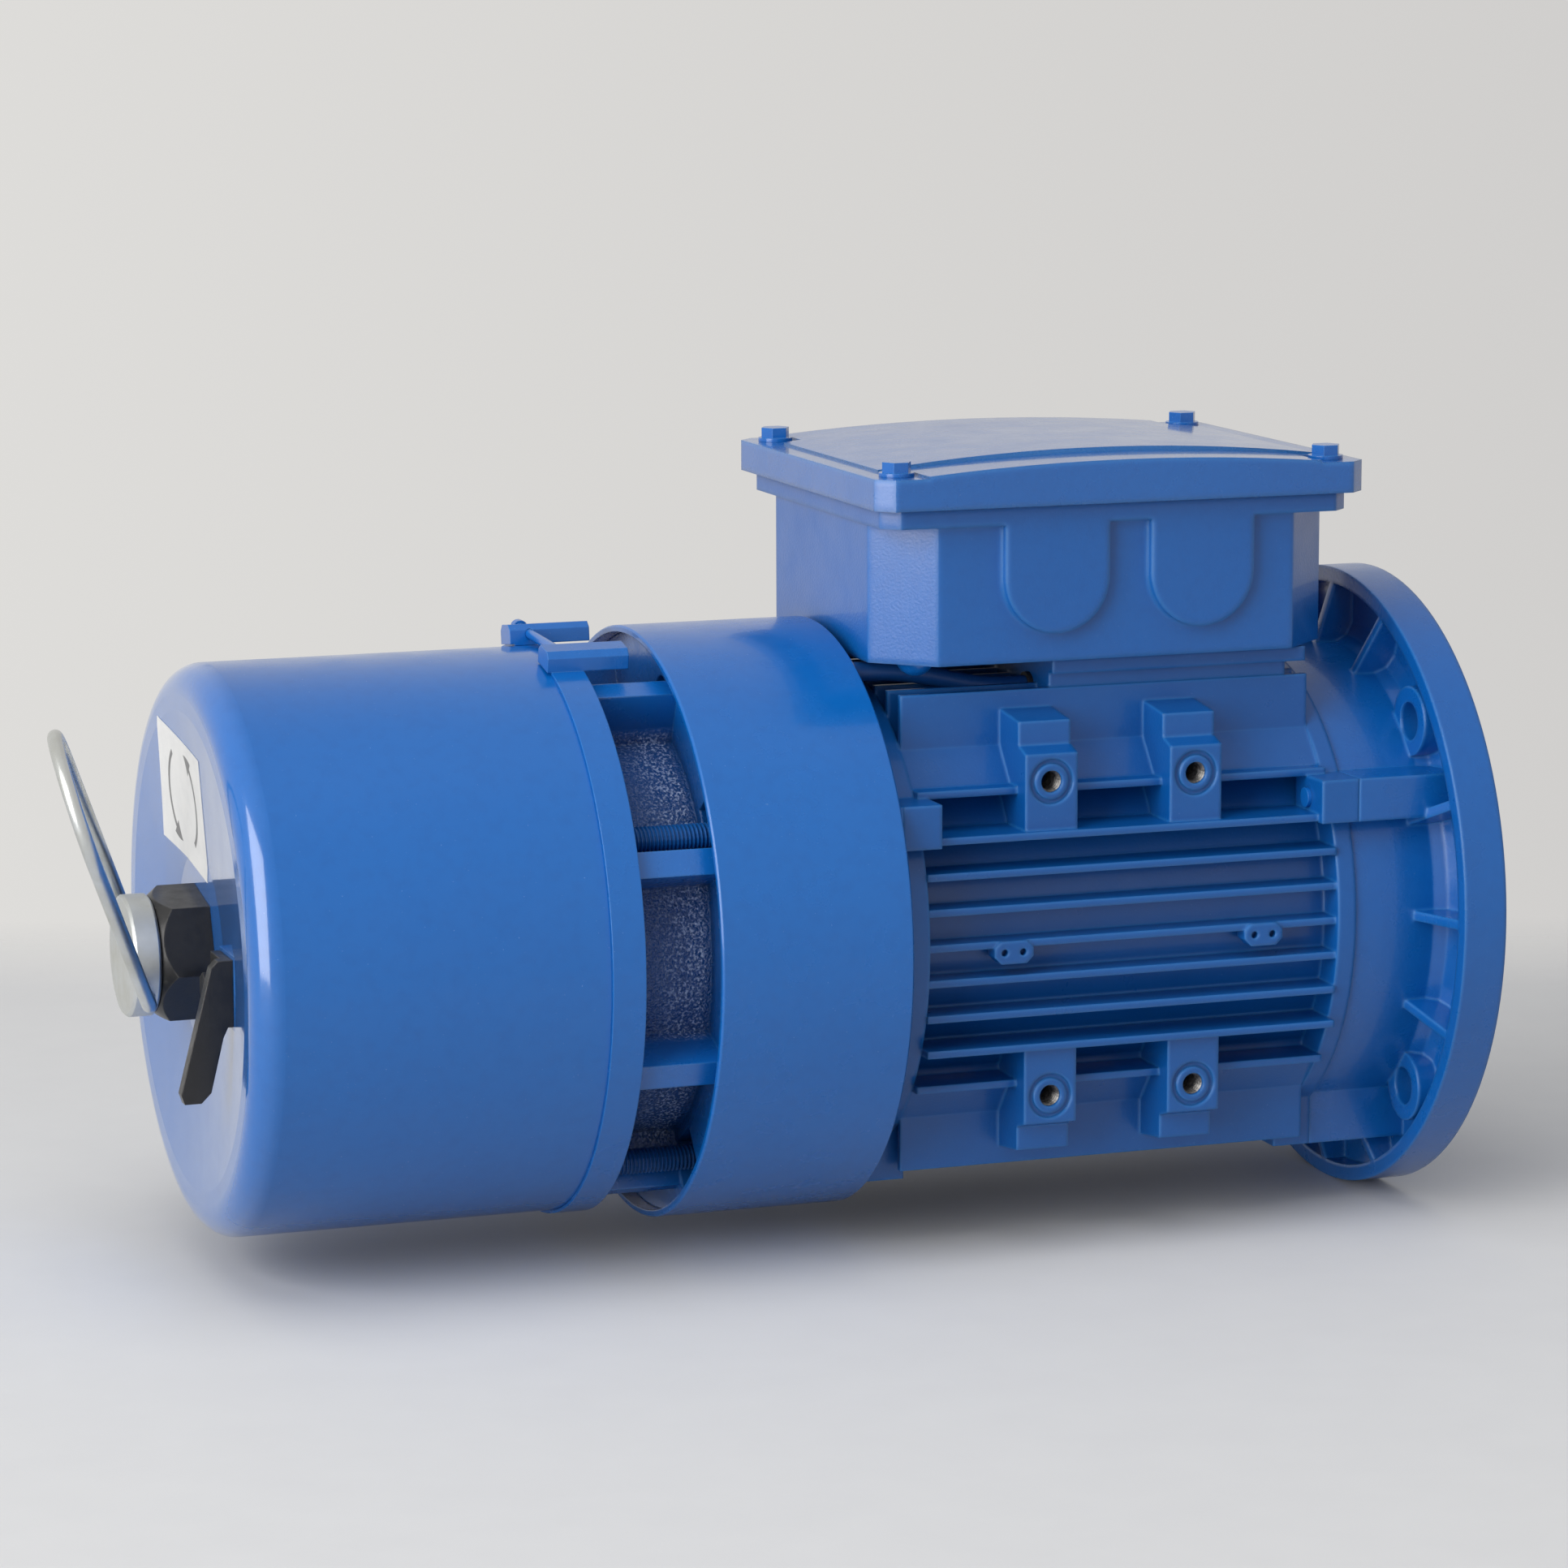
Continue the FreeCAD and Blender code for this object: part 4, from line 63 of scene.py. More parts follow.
def effect(name, inputs, outputs):
    """An empty shader group with its sockets, and the sockets of its two ends to link to."""
    tree = bpy.data.node_groups.new(name, "ShaderNodeTree")
    for label, start in inputs.items():
        kind = "NodeSocketFloat" if isinstance(start, float) else "NodeSocketColor"
        tree.interface.new_socket(label, in_out="INPUT", socket_type=kind).default_value = start
    for label, kind in outputs.items():
        tree.interface.new_socket(label, in_out="OUTPUT", socket_type="NodeSocket" + kind)
    return tree, tree.nodes.new("NodeGroupInput").outputs, tree.nodes.new("NodeGroupOutput").inputs


def put(tree, kind, settings=(), **values):
    """A node with its settings, and its inputs set or linked by name, or by number as in _0."""
    made = tree.nodes.new(kind)
    for label, setting in dict(settings).items():
        setattr(made, label, setting)
    for label, given in values.items():
        number = label[1:]
        socket = made.inputs[int(number) if number.isdigit() else label.replace("_", " ")]
        if isinstance(given, bpy.types.NodeSocket):
            tree.links.new(given, socket)
        else:
            socket.default_value = given
    return made


def own_place(tree):
    """Where a point lies on the piece itself, in metres."""
    return tree.nodes.new("ShaderNodeTexCoord").outputs["Object"]


def grain(tree, scale, detail=3.0, rough=0.55):
    """Noise on the piece's own coordinates, in bumps per metre."""
    noise = put(tree, "ShaderNodeTexNoise", Vector=own_place(tree), Scale=scale, Detail=detail,
                Roughness=rough)
    return noise.outputs["Fac"]


def spread(tree, fac, low, high, to_low, to_high):
    """A value between low and high, spread over another range and kept inside it."""
    return put(tree, "ShaderNodeMapRange", _0=fac, _1=low, _2=high, _3=to_low, _4=to_high).outputs[0]


def sums(tree, operation, first, second=0.0):
    return put(tree, "ShaderNodeMath", {"operation": operation}, _0=first, _1=second).outputs[0]


def times(tree, first, second):
    return sums(tree, "MULTIPLY", first, second)


def plus(tree, first, second):
    return sums(tree, "ADD", first, second)


def blended(tree, fac, first, second):
    return put(tree, "ShaderNodeMix", {"data_type": "RGBA"}, _0=fac, _6=first, _7=second).outputs[2]


soft_edge, got, given = effect("soft edge", {"Radius": 0.0006}, {"Normal": "Vector", "Edge": "Float"})
rounded = put(soft_edge, "ShaderNodeBevel", {"samples": 6}, Radius=got["Radius"]).outputs[0]
flat = soft_edge.nodes.new("ShaderNodeNewGeometry").outputs["Normal"]
turned_off = put(soft_edge, "ShaderNodeVectorMath", {"operation": "DOT_PRODUCT"}, _0=rounded, _1=flat)
soft_edge.links.new(rounded, given["Normal"])
soft_edge.links.new(spread(soft_edge, turned_off.outputs["Value"], 0.985, 0.8, 0.0, 1.0), given["Edge"])

motor_blue = (0.002, 0.112, 0.42, 1)
thin_blue, pooled_blue = (0.005, 0.165, 0.56, 1), (0.001, 0.06, 0.26, 1)
worn_blue, dusty_blue = (0.04, 0.27, 0.7, 1), (0.16, 0.3, 0.58, 1)
film_outputs = {"Color": "Color", "Roughness": "Float", "Height": "Float"}
paint_film, got, given = effect(
    "paint film", {"Paint": motor_blue, "Grain": 700.0, "Dullness": 0.3, "Edge": 0.0}, film_outputs)
clouds = spread(paint_film, grain(paint_film, 9.0), 0.3, 0.7, 0.0, 0.22)
tone = blended(paint_film, clouds, got["Paint"], thin_blue)
pools = spread(paint_film, grain(paint_film, 240.0, 4.0), 0.45, 0.75, 0.0, 0.16)
tone = blended(paint_film, pools, tone, pooled_blue)
tone = blended(paint_film, times(paint_film, got["Edge"], 0.4), tone, worn_blue)
dust = spread(paint_film, grain(paint_film, 1500.0, 2.0), 0.73, 0.78, 0.0, 0.4)
paint_film.links.new(blended(paint_film, dust, tone, dusty_blue), given["Color"])
matt = spread(paint_film, grain(paint_film, 70.0, 5.0), 0.3, 0.7, -0.05, 0.07)
clean = plus(paint_film, got["Dullness"], matt)
paint_film.links.new(plus(paint_film, clean, times(paint_film, dust, 0.25)), given["Roughness"])
peel = grain(paint_film, got["Grain"], rough=0.5)
wave = times(paint_film, grain(paint_film, 60.0, 2.0), 0.6)
paint_film.links.new(plus(paint_film, peel, wave), given["Height"])


def material(name, **constants):
    """A new material, its tree and its one shader, with the sockets that are the same all over."""
    made = bpy.data.materials.new(name)
    made.use_nodes = True
    shader = made.node_tree.nodes["Principled BSDF"]
    for label, setting in constants.items():
        shader.inputs[label.replace("_", " ")].default_value = setting
    return made, made.node_tree, shader


def use(tree, group, **values):
    """The outputs of an effect that is placed in a material with its own values."""
    return put(tree, "ShaderNodeGroup", {"node_tree": group}, **values).outputs


def surface(tree, shader, colour, rough, height=None, depth=0.0, normal=None, strength=1.0):
    """Links colour and roughness, and where there is a height, a relief laid on the softened normal."""
    tree.links.new(colour, shader.inputs["Base Color"])
    tree.links.new(rough, shader.inputs["Roughness"])
    if height is None:
        return
    relief = put(tree, "ShaderNodeBump", Strength=strength, Distance=depth, Height=height)
    if normal is not None:
        tree.links.new(normal, relief.inputs["Normal"])
    tree.links.new(relief.outputs[0], shader.inputs["Normal"])


def dress(made, *names):
    """Puts a material on CAD nodes."""
    for name in names:
        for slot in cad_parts[name].material_slots:
            slot.material = made


def painted(name, grain_scale, depth, dullness, edge=0.0009, coat=0.2, paint=motor_blue):
    """A sprayed film: its grain per metre and how deep that is, and the radius that it gives an edge."""
    made, tree, shader = material(name, Coat_Weight=coat, Coat_Roughness=0.07, IOR=1.5)
    edges = use(tree, soft_edge, Radius=edge)
    film = use(tree, paint_film, Paint=paint, Grain=grain_scale, Dullness=dullness, Edge=edges["Edge"])
    surface(tree, shader, film["Color"], film["Roughness"], film["Height"], depth, edges["Normal"])
    return made


frame_blue = (0.002, 0.084, 0.325, 1)
dress(painted("painted frame casting", grain_scale=1100.0, depth=0.00006, dullness=0.32, edge=0.0018,
              paint=frame_blue),
      "stator_frame")

# Threads in the side pads: M8 threads cut in the casting's pads, left bare when the motor was sprayed.
# Each is a helical ridge on the wall of a drilled hole, dark with cutting oil.


def settle(piece):
    """Puts a piece's place, turn and scale into its mesh, with nothing else selected."""
    bpy.ops.object.select_all(action="DESELECT")
    piece.select_set(True)
    bpy.context.view_layer.objects.active = piece
    bpy.ops.object.transform_apply(location=True, rotation=True, scale=True)


def face_outwards():
    """Turns every face of the active piece outwards."""
    bpy.ops.object.mode_set(mode="EDIT")
    bpy.ops.mesh.select_all(action="SELECT")
    bpy.ops.mesh.normals_make_consistent(inside=False)
    bpy.ops.object.mode_set(mode="OBJECT")


def thread(name, root, crest, pitch, turns, steps):
    """A helical thread ridge round the X axis, from x = 0, closed at both ends."""
    foot_share, tip_share, touching = 0.86, 0.2, 1e-6
    bpy.ops.object.select_all(action="DESELECT")
    bpy.ops.mesh.primitive_plane_add(
        size=1, location=(pitch / 2, 0, (root + crest) / 2), rotation=(math.pi / 2, 0, 0))
    ridge = bpy.context.active_object
    ridge.name = name
    ridge.scale = (pitch * foot_share, abs(crest - root), 1)
    settle(ridge)
    bpy.ops.object.mode_set(mode="EDIT")
    bpy.ops.mesh.select_all(action="DESELECT")
    bpy.ops.object.mode_set(mode="OBJECT")
    for corner in ridge.data.vertices:
        corner.select = abs(corner.co.z - crest) < touching
    bpy.ops.object.mode_set(mode="EDIT")
    bpy.ops.transform.resize(value=(tip_share, 1, 1), center_override=(pitch / 2, 0, crest))
    bpy.ops.mesh.select_all(action="SELECT")
    bpy.ops.mesh.delete(type="ONLY_FACE")
    bpy.ops.object.mode_set(mode="OBJECT")
    sweep = ridge.modifiers.new("sweep", "SCREW")
    sweep.axis = "X"
    sweep.angle = 2 * math.pi
    sweep.screw_offset = pitch
    sweep.iterations = turns
    sweep.steps = steps
    sweep.render_steps = steps
    sweep.use_smooth_shade = False
    bpy.ops.object.modifier_apply(modifier="sweep")
    bpy.ops.object.mode_set(mode="EDIT")
    bpy.ops.mesh.select_all(action="SELECT")
    bpy.ops.mesh.remove_doubles(threshold=touching)
    bpy.ops.mesh.select_all(action="DESELECT")
    bpy.ops.mesh.select_non_manifold()
    bpy.ops.mesh.fill()
    bpy.ops.object.mode_set(mode="OBJECT")
    face_outwards()
    return ridge


def copied(piece, name, turn_by, centre):
    """A copy with its own mesh, turned about the origin and set at its place."""
    again = piece.copy()
    again.data = piece.data.copy()
    again.name = name
    bpy.context.collection.objects.link(again)
    again.rotation_euler = turn_by
    again.location = centre
    settle(again)
    return again


def joined(pieces, name):
    """One piece made of several, under the first one's object."""
    bpy.ops.object.select_all(action="DESELECT")
    for piece in pieces:
        piece.select_set(True)
    bpy.context.view_layer.objects.active = pieces[0]
    bpy.ops.object.join()
    pieces[0].name = name
    bpy.ops.object.select_all(action="DESELECT")
    return pieces[0]


def discard(piece):
    bpy.data.objects.remove(piece, do_unlink=True)


m8_pitch = 0.00125
pad_mid, pad_pitch, pad_z, pad_face = -0.1163, 0.0475, 0.0487, 0.0725
thread_sink = 0.0006
pattern = thread("pad_thread_pattern", root=0.00339, crest=0.0029, pitch=m8_pitch, turns=9, steps=20)
cut_threads = []
for side in (-1, 1):
    for along in (-0.5, 0.5):
        for level in (-1, 1):
            at = Vector((pad_mid + along * pad_pitch, side * (pad_face - thread_sink), level * pad_z))
            cut_threads.append(copied(pattern, "pad_thread", (0, 0, -side * math.pi / 2), at))
discard(pattern)
pad_threads = joined(cut_threads, "pad_threads")
oiled, wiped = (0.09, 0.088, 0.085, 1), (0.3, 0.29, 0.28, 1)
bare, tree, shader = material("oiled bare aluminium thread", Metallic=1.0, IOR=1.45)
oil = grain(tree, 900.0, 4.0)
tone = blended(tree, spread(tree, oil, 0.35, 0.7, 0.0, 1.0), oiled, wiped)
surface(tree, shader, tone, spread(tree, oil, 0.3, 0.7, 0.3, 0.5))
pad_threads.data.materials.append(bare)
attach(pad_threads, "motor")

# Flange end shield: a ribbed aluminium casting whose flange bolts to the driven machine.
# It sits in the frame's front register, and its rim and face are turned true before it is sprayed.

flange_blue = (0.002, 0.096, 0.37, 1)
dress(painted("painted flange casting", grain_scale=900.0, depth=0.00005, dullness=0.28, edge=0.0018,
              coat=0.35, paint=flange_blue),
      "flange_shield")

# Rear end shield: an aluminium casting that carries the rear bearing, held to the frame by the tie studs.
# Most of it is hidden by the cowl, so its sprayed film is thin and uneven.

dress(painted("painted rear shield casting", grain_scale=1000.0, depth=0.00007, dullness=0.42),
      "rear_endshield")

# Stator: a stack of half-millimetre punched sheets pressed into the frame, with copper wound in its slots.
# The sheets show as fine bands along the stack, and the winding heads are dipped in brown varnish.

sheet_steel, sheet_oxide, sheet_joint = (0.3, 0.31, 0.33, 1), (0.16, 0.15, 0.15, 1), (0.06, 0.06, 0.065, 1)
sheeted, tree, shader = material("stacked core sheet", Metallic=1.0, IOR=1.5)
sheets = put(tree, "ShaderNodeTexWave", {"bands_direction": "X"}, Vector=own_place(tree), Scale=320.0,
             Distortion=0.4, Detail=1.0).outputs["Fac"]
oxide = grain(tree, 90.0, 5.0)
tone = blended(tree, spread(tree, oxide, 0.35, 0.7, 0.0, 1.0), sheet_steel, sheet_oxide)
tone = blended(tree, spread(tree, sheets, 0.0, 0.35, 0.55, 0.0), tone, sheet_joint)
surface(tree, shader, tone, spread(tree, oxide, 0.3, 0.7, 0.35, 0.6), sheets, 0.0001, strength=0.6)
dress(sheeted, "stator_core", "rotor_core", "brake_magnet")

wire_gap, wire_crown, varnish_brown = (0.12, 0.035, 0.012, 1), (0.5, 0.19, 0.07, 1), (0.09, 0.025, 0.01, 1)
copper, tree, shader = material("varnished copper winding", IOR=1.52, Coat_Weight=0.6, Coat_Roughness=0.12)
wires = put(tree, "ShaderNodeTexWave", {"bands_direction": "X"}, Vector=own_place(tree), Scale=150.0,
            Distortion=6.0, Detail=3.0, Detail_Scale=2.0).outputs["Fac"]
varnish = grain(tree, 60.0, 5.0)
tone = blended(tree, wires, wire_gap, wire_crown)
tone = blended(tree, spread(tree, varnish, 0.45, 0.75, 0.0, 0.7), tone, varnish_brown)
surface(tree, shader, tone, spread(tree, varnish, 0.3, 0.7, 0.28, 0.5), wires, 0.0004, strength=0.8)
tree.links.new(spread(tree, wires, 0.2, 0.9, 0.25, 0.85), shader.inputs["Metallic"])
dress(copper, "stator_windings", "brake_coil")

# Rotor: a ground steel shaft pressed through a slotted core, with the cage's bars and end rings cast in it.
# The shaft end is bright from grinding, with marks that run round it, and the cage keeps its cast skin.


def split(tree, place):
    """The X, Y and Z of a place."""
    return put(tree, "ShaderNodeSeparateXYZ", Vector=place).outputs


def off_axis(tree, parts):
    """How far a point stands from the X axis."""
    across = put(tree, "ShaderNodeCombineXYZ", X=parts["Y"], Y=parts["Z"]).outputs[0]
    return put(tree, "ShaderNodeVectorMath", {"operation": "LENGTH"}, _0=across).outputs["Value"]


stained_steel, bright_edge = (0.32, 0.31, 0.3, 1), (0.86, 0.86, 0.86, 1)
bright_metal, got, given = effect(
    "machined metal", {"Metal": (0.6, 0.6, 0.61, 1), "Mark": 900.0, "Dullness": 0.22, "Edge": 0.0},
    film_outputs)
parts = split(bright_metal, own_place(bright_metal))
lathe = put(bright_metal, "ShaderNodeCombineXYZ", X=parts["X"], Y=off_axis(bright_metal, parts)).outputs[0]
marks = put(bright_metal, "ShaderNodeTexNoise", Vector=lathe, Scale=got["Mark"], Detail=3.0).outputs["Fac"]
stain = grain(bright_metal, 55.0, 5.0)
tone = blended(bright_metal, spread(bright_metal, stain, 0.4, 0.75, 0.0, 0.45), got["Metal"], stained_steel)
tone = blended(bright_metal, times(bright_metal, got["Edge"], 0.6), tone, bright_edge)
bright_metal.links.new(tone, given["Color"])
uneven = plus(bright_metal, spread(bright_metal, marks, 0.3, 0.7, -0.06, 0.08),
              spread(bright_metal, stain, 0.4, 0.8, 0.0, 0.12))
bright_metal.links.new(plus(bright_metal, got["Dullness"], uneven), given["Roughness"])
bright_metal.links.new(marks, given["Height"])


def machined(name, metal, mark, dullness, depth=0.00002, edge=0.0003):
    """Bare metal with tool marks that run round the axis, so many to the metre."""
    made, tree, shader = material(name, Metallic=1.0, IOR=1.5)
    edges = use(tree, soft_edge, Radius=edge)
    face = use(tree, bright_metal, Metal=metal, Mark=mark, Dullness=dullness, Edge=edges["Edge"])
    surface(tree, shader, face["Color"], face["Roughness"], face["Height"], depth, edges["Normal"])
    return made


dress(machined("ground shaft steel", metal=(0.56, 0.56, 0.57, 1), mark=2600.0, dullness=0.2), "shaft")
dress(machined("cast cage aluminium", metal=(0.7, 0.71, 0.72, 1), mark=260.0, dullness=0.45,
               depth=0.00008, edge=0.0006),
      "rotor_cage")

# Bearings: two deep-groove ball bearings of polished steel, each two rings with caged balls between them.
# A wave spring loads the rear one, and a rubber lip seal keeps the machine's oil out of the front one.

dress(machined("polished bearing steel", metal=(0.66, 0.66, 0.67, 1), mark=3200.0, dullness=0.14,
               depth=0.00001),
      "front_bearing_outer", "front_bearing_inner", "rear_bearing_outer", "rear_bearing_inner")
dress(machined("burnished ball and cage steel", metal=(0.7, 0.69, 0.66, 1), mark=1200.0, dullness=0.12,
               depth=0.00001),
      "front_ball_cage", "rear_ball_cage")
dress(machined("blued spring steel", metal=(0.3, 0.32, 0.36, 1), mark=1800.0, dullness=0.28),
      "wave_spring", "fan_circlip", "hub_circlip", "pressure_springs")


def moulded(name, colour, pale, scale, dullness, depth):
    """A moulded black or dark surface with a fine skin, paler where it is rubbed."""
    made, tree, shader = material(name, IOR=1.48)
    edges = use(tree, soft_edge, Radius=0.0005)
    bloom = grain(tree, 38.0, 5.0)
    tone = blended(tree, spread(tree, bloom, 0.4, 0.75, 0.0, 0.6), colour, pale)
    tone = blended(tree, times(tree, edges["Edge"], 0.7), tone, pale)
    rough = spread(tree, bloom, 0.3, 0.7, dullness - 0.07, dullness + 0.08)
    surface(tree, shader, tone, rough, grain(tree, scale, 4.0), depth, edges["Normal"])
    return made


rubber_black, rubber_bloom = (0.012, 0.012, 0.013, 1), (0.05, 0.05, 0.05, 1)
dress(moulded("black nitrile rubber", colour=rubber_black, pale=rubber_bloom, scale=1400.0,
              dullness=0.62, depth=0.00003),
      "shaft_seal", "cover_seal", "dust_ring", "box_gasket", "lid_gasket", "lead_grommet")

# Frame bolts: four socket screws, sunk in the flange's face and tapped into the frame's front lugs.
# They were fitted before spraying, so the tips that come through the lugs carry the same blue film.

dress(painted("painted bolt tips", grain_scale=1400.0, depth=0.00004, dullness=0.3, edge=0.0004),
      "frame_bolts")

# Tie studs: four M8 threaded rods that hold the rear shield, the cowl's bracket and the brake to the frame.
# Their rolled thread shows in the open gap before the brake, sprayed blue with the rest.
# Its blue is painted darker as shade, since the studs lie in shadow under the cover.

lo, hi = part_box("tie_studs")
stud_len = hi.x - lo.x
stud_r, core_r, root_r = 0.004, 0.00342, 0.00338
crest_r = stud_r - 0.00002
plain_tip, tip_chamfer, core_sides = 0.001, 0.0008, 24
stud_y, stud_z = hi.y - stud_r, 0.03792
turns = int((stud_len - 2 * plain_tip) / m8_pitch)
ridge = thread("stud_thread_pattern", root=root_r, crest=crest_r, pitch=m8_pitch, turns=turns, steps=16)
bpy.ops.object.select_all(action="DESELECT")
bpy.ops.mesh.primitive_cylinder_add(
    vertices=core_sides, radius=core_r, depth=stud_len,
    rotation=(0, math.pi / 2, 0), location=(stud_len / 2, 0, 0))
core = bpy.context.active_object
settle(core)
bpy.ops.object.mode_set(mode="EDIT")
bpy.ops.mesh.select_all(action="DESELECT")
bpy.ops.mesh.select_face_by_sides(number=core_sides, type="EQUAL", extend=False)
bpy.ops.mesh.bevel(offset=tip_chamfer, segments=1, affect="EDGES")
bpy.ops.object.mode_set(mode="OBJECT")
ridge.location = (plain_tip, 0, 0)
settle(ridge)
stud = joined([core, ridge], "tie_stud_pattern")
rods = []
for y, z in ((-stud_y, stud_z), (-stud_z, -stud_y), (stud_y, -stud_z), (stud_z, stud_y)):
    rods.append(copied(stud, "tie_stud", (0, 0, 0), (lo.x, y, z)))
discard(stud)
threaded_studs = joined(rods, "threaded_tie_studs")
# Painted shade: the stud paint is darker than the motor's blue to stand for the shadow under the cover.
painted_shade_blue = (0.001, 0.05, 0.2, 1)
stud_paint = painted("painted stud thread", grain_scale=1800.0, depth=0.00003, dullness=0.36, edge=0.0001,
                     paint=painted_shade_blue)
threaded_studs.data.materials.append(stud_paint)
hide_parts("tie_studs")
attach(threaded_studs, "motor")

# Zinc-plated hardware: the nuts on the tie studs, the brake's and the box's screws, and the release's
# inner parts. The plate is thin and bright, with a faint cloudy passivation.

zinc, zinc_cloud = (0.68, 0.7, 0.69, 1), (0.55, 0.55, 0.5, 1)
zinc_blue, zinc_edge = (0.5, 0.56, 0.66, 1), (0.88, 0.88, 0.87, 1)
zinc_plate, got, given = effect("zinc plate", {"Dullness": 0.26, "Edge": 0.0}, film_outputs)
cloudy = grain(zinc_plate, 65.0, 5.0)
tint = spread(zinc_plate, grain(zinc_plate, 22.0, 2.0), 0.5, 0.75, 0.0, 0.35)
tone = blended(zinc_plate, spread(zinc_plate, cloudy, 0.35, 0.7, 0.0, 1.0), zinc, zinc_cloud)
tone = blended(zinc_plate, tint, tone, zinc_blue)
tone = blended(zinc_plate, times(zinc_plate, got["Edge"], 0.5), tone, zinc_edge)
zinc_plate.links.new(tone, given["Color"])
dull = plus(zinc_plate, got["Dullness"], spread(zinc_plate, cloudy, 0.3, 0.7, -0.05, 0.1))
zinc_plate.links.new(dull, given["Roughness"])
zinc_plate.links.new(grain(zinc_plate, 1500.0), given["Height"])


def plated(name, dullness, edge=0.0003):
    made, tree, shader = material(name, Metallic=1.0, IOR=1.5)
    edges = use(tree, soft_edge, Radius=edge)
    face = use(tree, zinc_plate, Dullness=dullness, Edge=edges["Edge"])
    surface(tree, shader, face["Color"], face["Roughness"], face["Height"], 0.00001, edges["Normal"])
    return made


dress(plated("plated hardware", dullness=0.3),
      "tie_nuts", "brake_screws", "box_screws", "release_pins", "release_yoke", "release_spindle")

# Fan: a moulded plastic impeller on the shaft's tail, held by a circlip.
# It is black glass-filled plastic with a slightly fibrous skin.

plastic_black, plastic_pale = (0.016, 0.016, 0.018, 1), (0.06, 0.06, 0.06, 1)
dress(moulded("glass-filled black plastic", colour=plastic_black, pale=plastic_pale, scale=700.0,
              dullness=0.42, depth=0.00005),
      "fan", "terminal_board", "rectifier")

# Fan cowl: a rolled and welded sheet-steel ring that guides the fan's air over the fins.
# Its smooth sheet takes the glossiest coat, with a few specks of dust in the film.

dress(painted("painted cowl sheet", grain_scale=420.0, depth=0.00003, dullness=0.24, edge=0.0006,
              coat=0.3),
      "fan_cowl")

# Brake bracket: a ribbed iron casting that carries the cowl at its front and the brake at its rear.
# Only its rim and seat are machined. Between the ribs the rough cast skin shows through a glossy coat,
# with shade painted darker towards the drum deep in the gap, and pale glints painted on the skin's
# peaks in a band across the drum near the flange.

drum_r, drum_fade = 0.0685, 0.004
rim_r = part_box("brake_cover")[1].y - 0.004
disc_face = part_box("fan_cowl")[0].x + 0.0048
# Where the painted glints on the drum begin, grow full and fade out near the flange.
glint_from, glint_full = disc_face - 0.018, disc_face - 0.009
corner_from, corner_to = disc_face - 0.001, disc_face - 0.003
recess_shade_blue, glint_pale = (0.001, 0.035, 0.16, 1), (0.4, 0.5, 0.72, 1)
rough_cast, tree, shader = material("painted rough bracket casting", IOR=1.7)
edges = use(tree, soft_edge, Radius=0.0009)
film = use(tree, paint_film, Grain=900.0, Dullness=0.26, Edge=edges["Edge"])
parts = split(tree, own_place(tree))
from_axis = off_axis(tree, parts)
as_cast = spread(tree, from_axis, drum_r, drum_r + drum_fade, 1.0, 0.0)
# Painted shade: the paint is darkened towards the drum, where the gap lies deep in shade.
painted_recess_shade = spread(tree, from_axis, drum_r, rim_r, 0.75, 0.0)
tone = blended(tree, painted_recess_shade, film["Color"], recess_shade_blue)
# Painted highlight: pale glints on the skin's peaks, in a band across the drum that fades near the flange.
glint_band = times(tree, spread(tree, parts["X"], glint_from, glint_full, 0.12, 1.0),
               spread(tree, parts["X"], corner_from, corner_to, 0.0, 1.0))
painted_glints = times(tree, as_cast, spread(tree, grain(tree, 1200.0), 0.5, 0.64, 0.0, 0.85))
tone = blended(tree, times(tree, painted_glints, glint_band), tone, glint_pale)
rough = sums(tree, "SUBTRACT", film["Roughness"], times(tree, as_cast, 0.12))
skin = plus(tree, grain(tree, 420.0, 2.0), times(tree, grain(tree, 1400.0, 2.0), 2.2))
rugged = plus(tree, times(tree, times(tree, as_cast, skin), 6.0), film["Height"])
surface(tree, shader, tone, rough, rugged, 0.00006, edges["Normal"])
dress(rough_cast, "brake_bracket")

# Disc brake: a friction disc on its hub between a fixed plate and the armature, and a ring magnet behind.
# The plates are ground steel, the disc carries bonded linings, and brass sleeves set the air gap.

dress(machined("ground brake steel", metal=(0.5, 0.5, 0.51, 1), mark=1500.0, dullness=0.3),
      "friction_plate", "armature_plate", "brake_hub")
resin, fibre_tan, brass_fleck = (0.05, 0.042, 0.036, 1), (0.24, 0.2, 0.17, 1), (0.45, 0.33, 0.16, 1)
lining, tree, shader = material("bonded friction lining", IOR=1.45)
fibre = grain(tree, 420.0, 6.0, 0.65)
fleck = spread(tree, grain(tree, 1300.0, 2.0), 0.64, 0.7, 0.0, 1.0)
tone = blended(tree, fleck, blended(tree, fibre, resin, fibre_tan), brass_fleck)
surface(tree, shader, tone, spread(tree, fibre, 0.3, 0.7, 0.7, 0.9), fibre, 0.0002, strength=0.8)
dress(lining, "friction_disc")
dress(machined("turned brass", metal=(0.72, 0.5, 0.2, 1), mark=1700.0, dullness=0.24),
      "brake_sleeves", "terminal_studs", "terminal_links")

# Brake cover: a deep-drawn steel cup over the brake, pushed on the bracket's seat and held by the band.
# Drawing leaves it smooth, so its coat is an even gloss, thickest on the end, and mirrors the room.

cover_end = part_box("brake_cover")[0].x
thick_to, thin_from = cover_end + 0.005, cover_end + 0.009
cover_paint = painted("painted drawn cover", grain_scale=300.0, depth=0.00002, dullness=0.2, edge=0.0006)
tree = cover_paint.node_tree
coat = spread(tree, split(tree, own_place(tree))["X"], thick_to, thin_from, 1.0, 0.3)
tree.links.new(coat, tree.nodes["Principled BSDF"].inputs["Coat Weight"])
dress(cover_paint, "brake_cover")

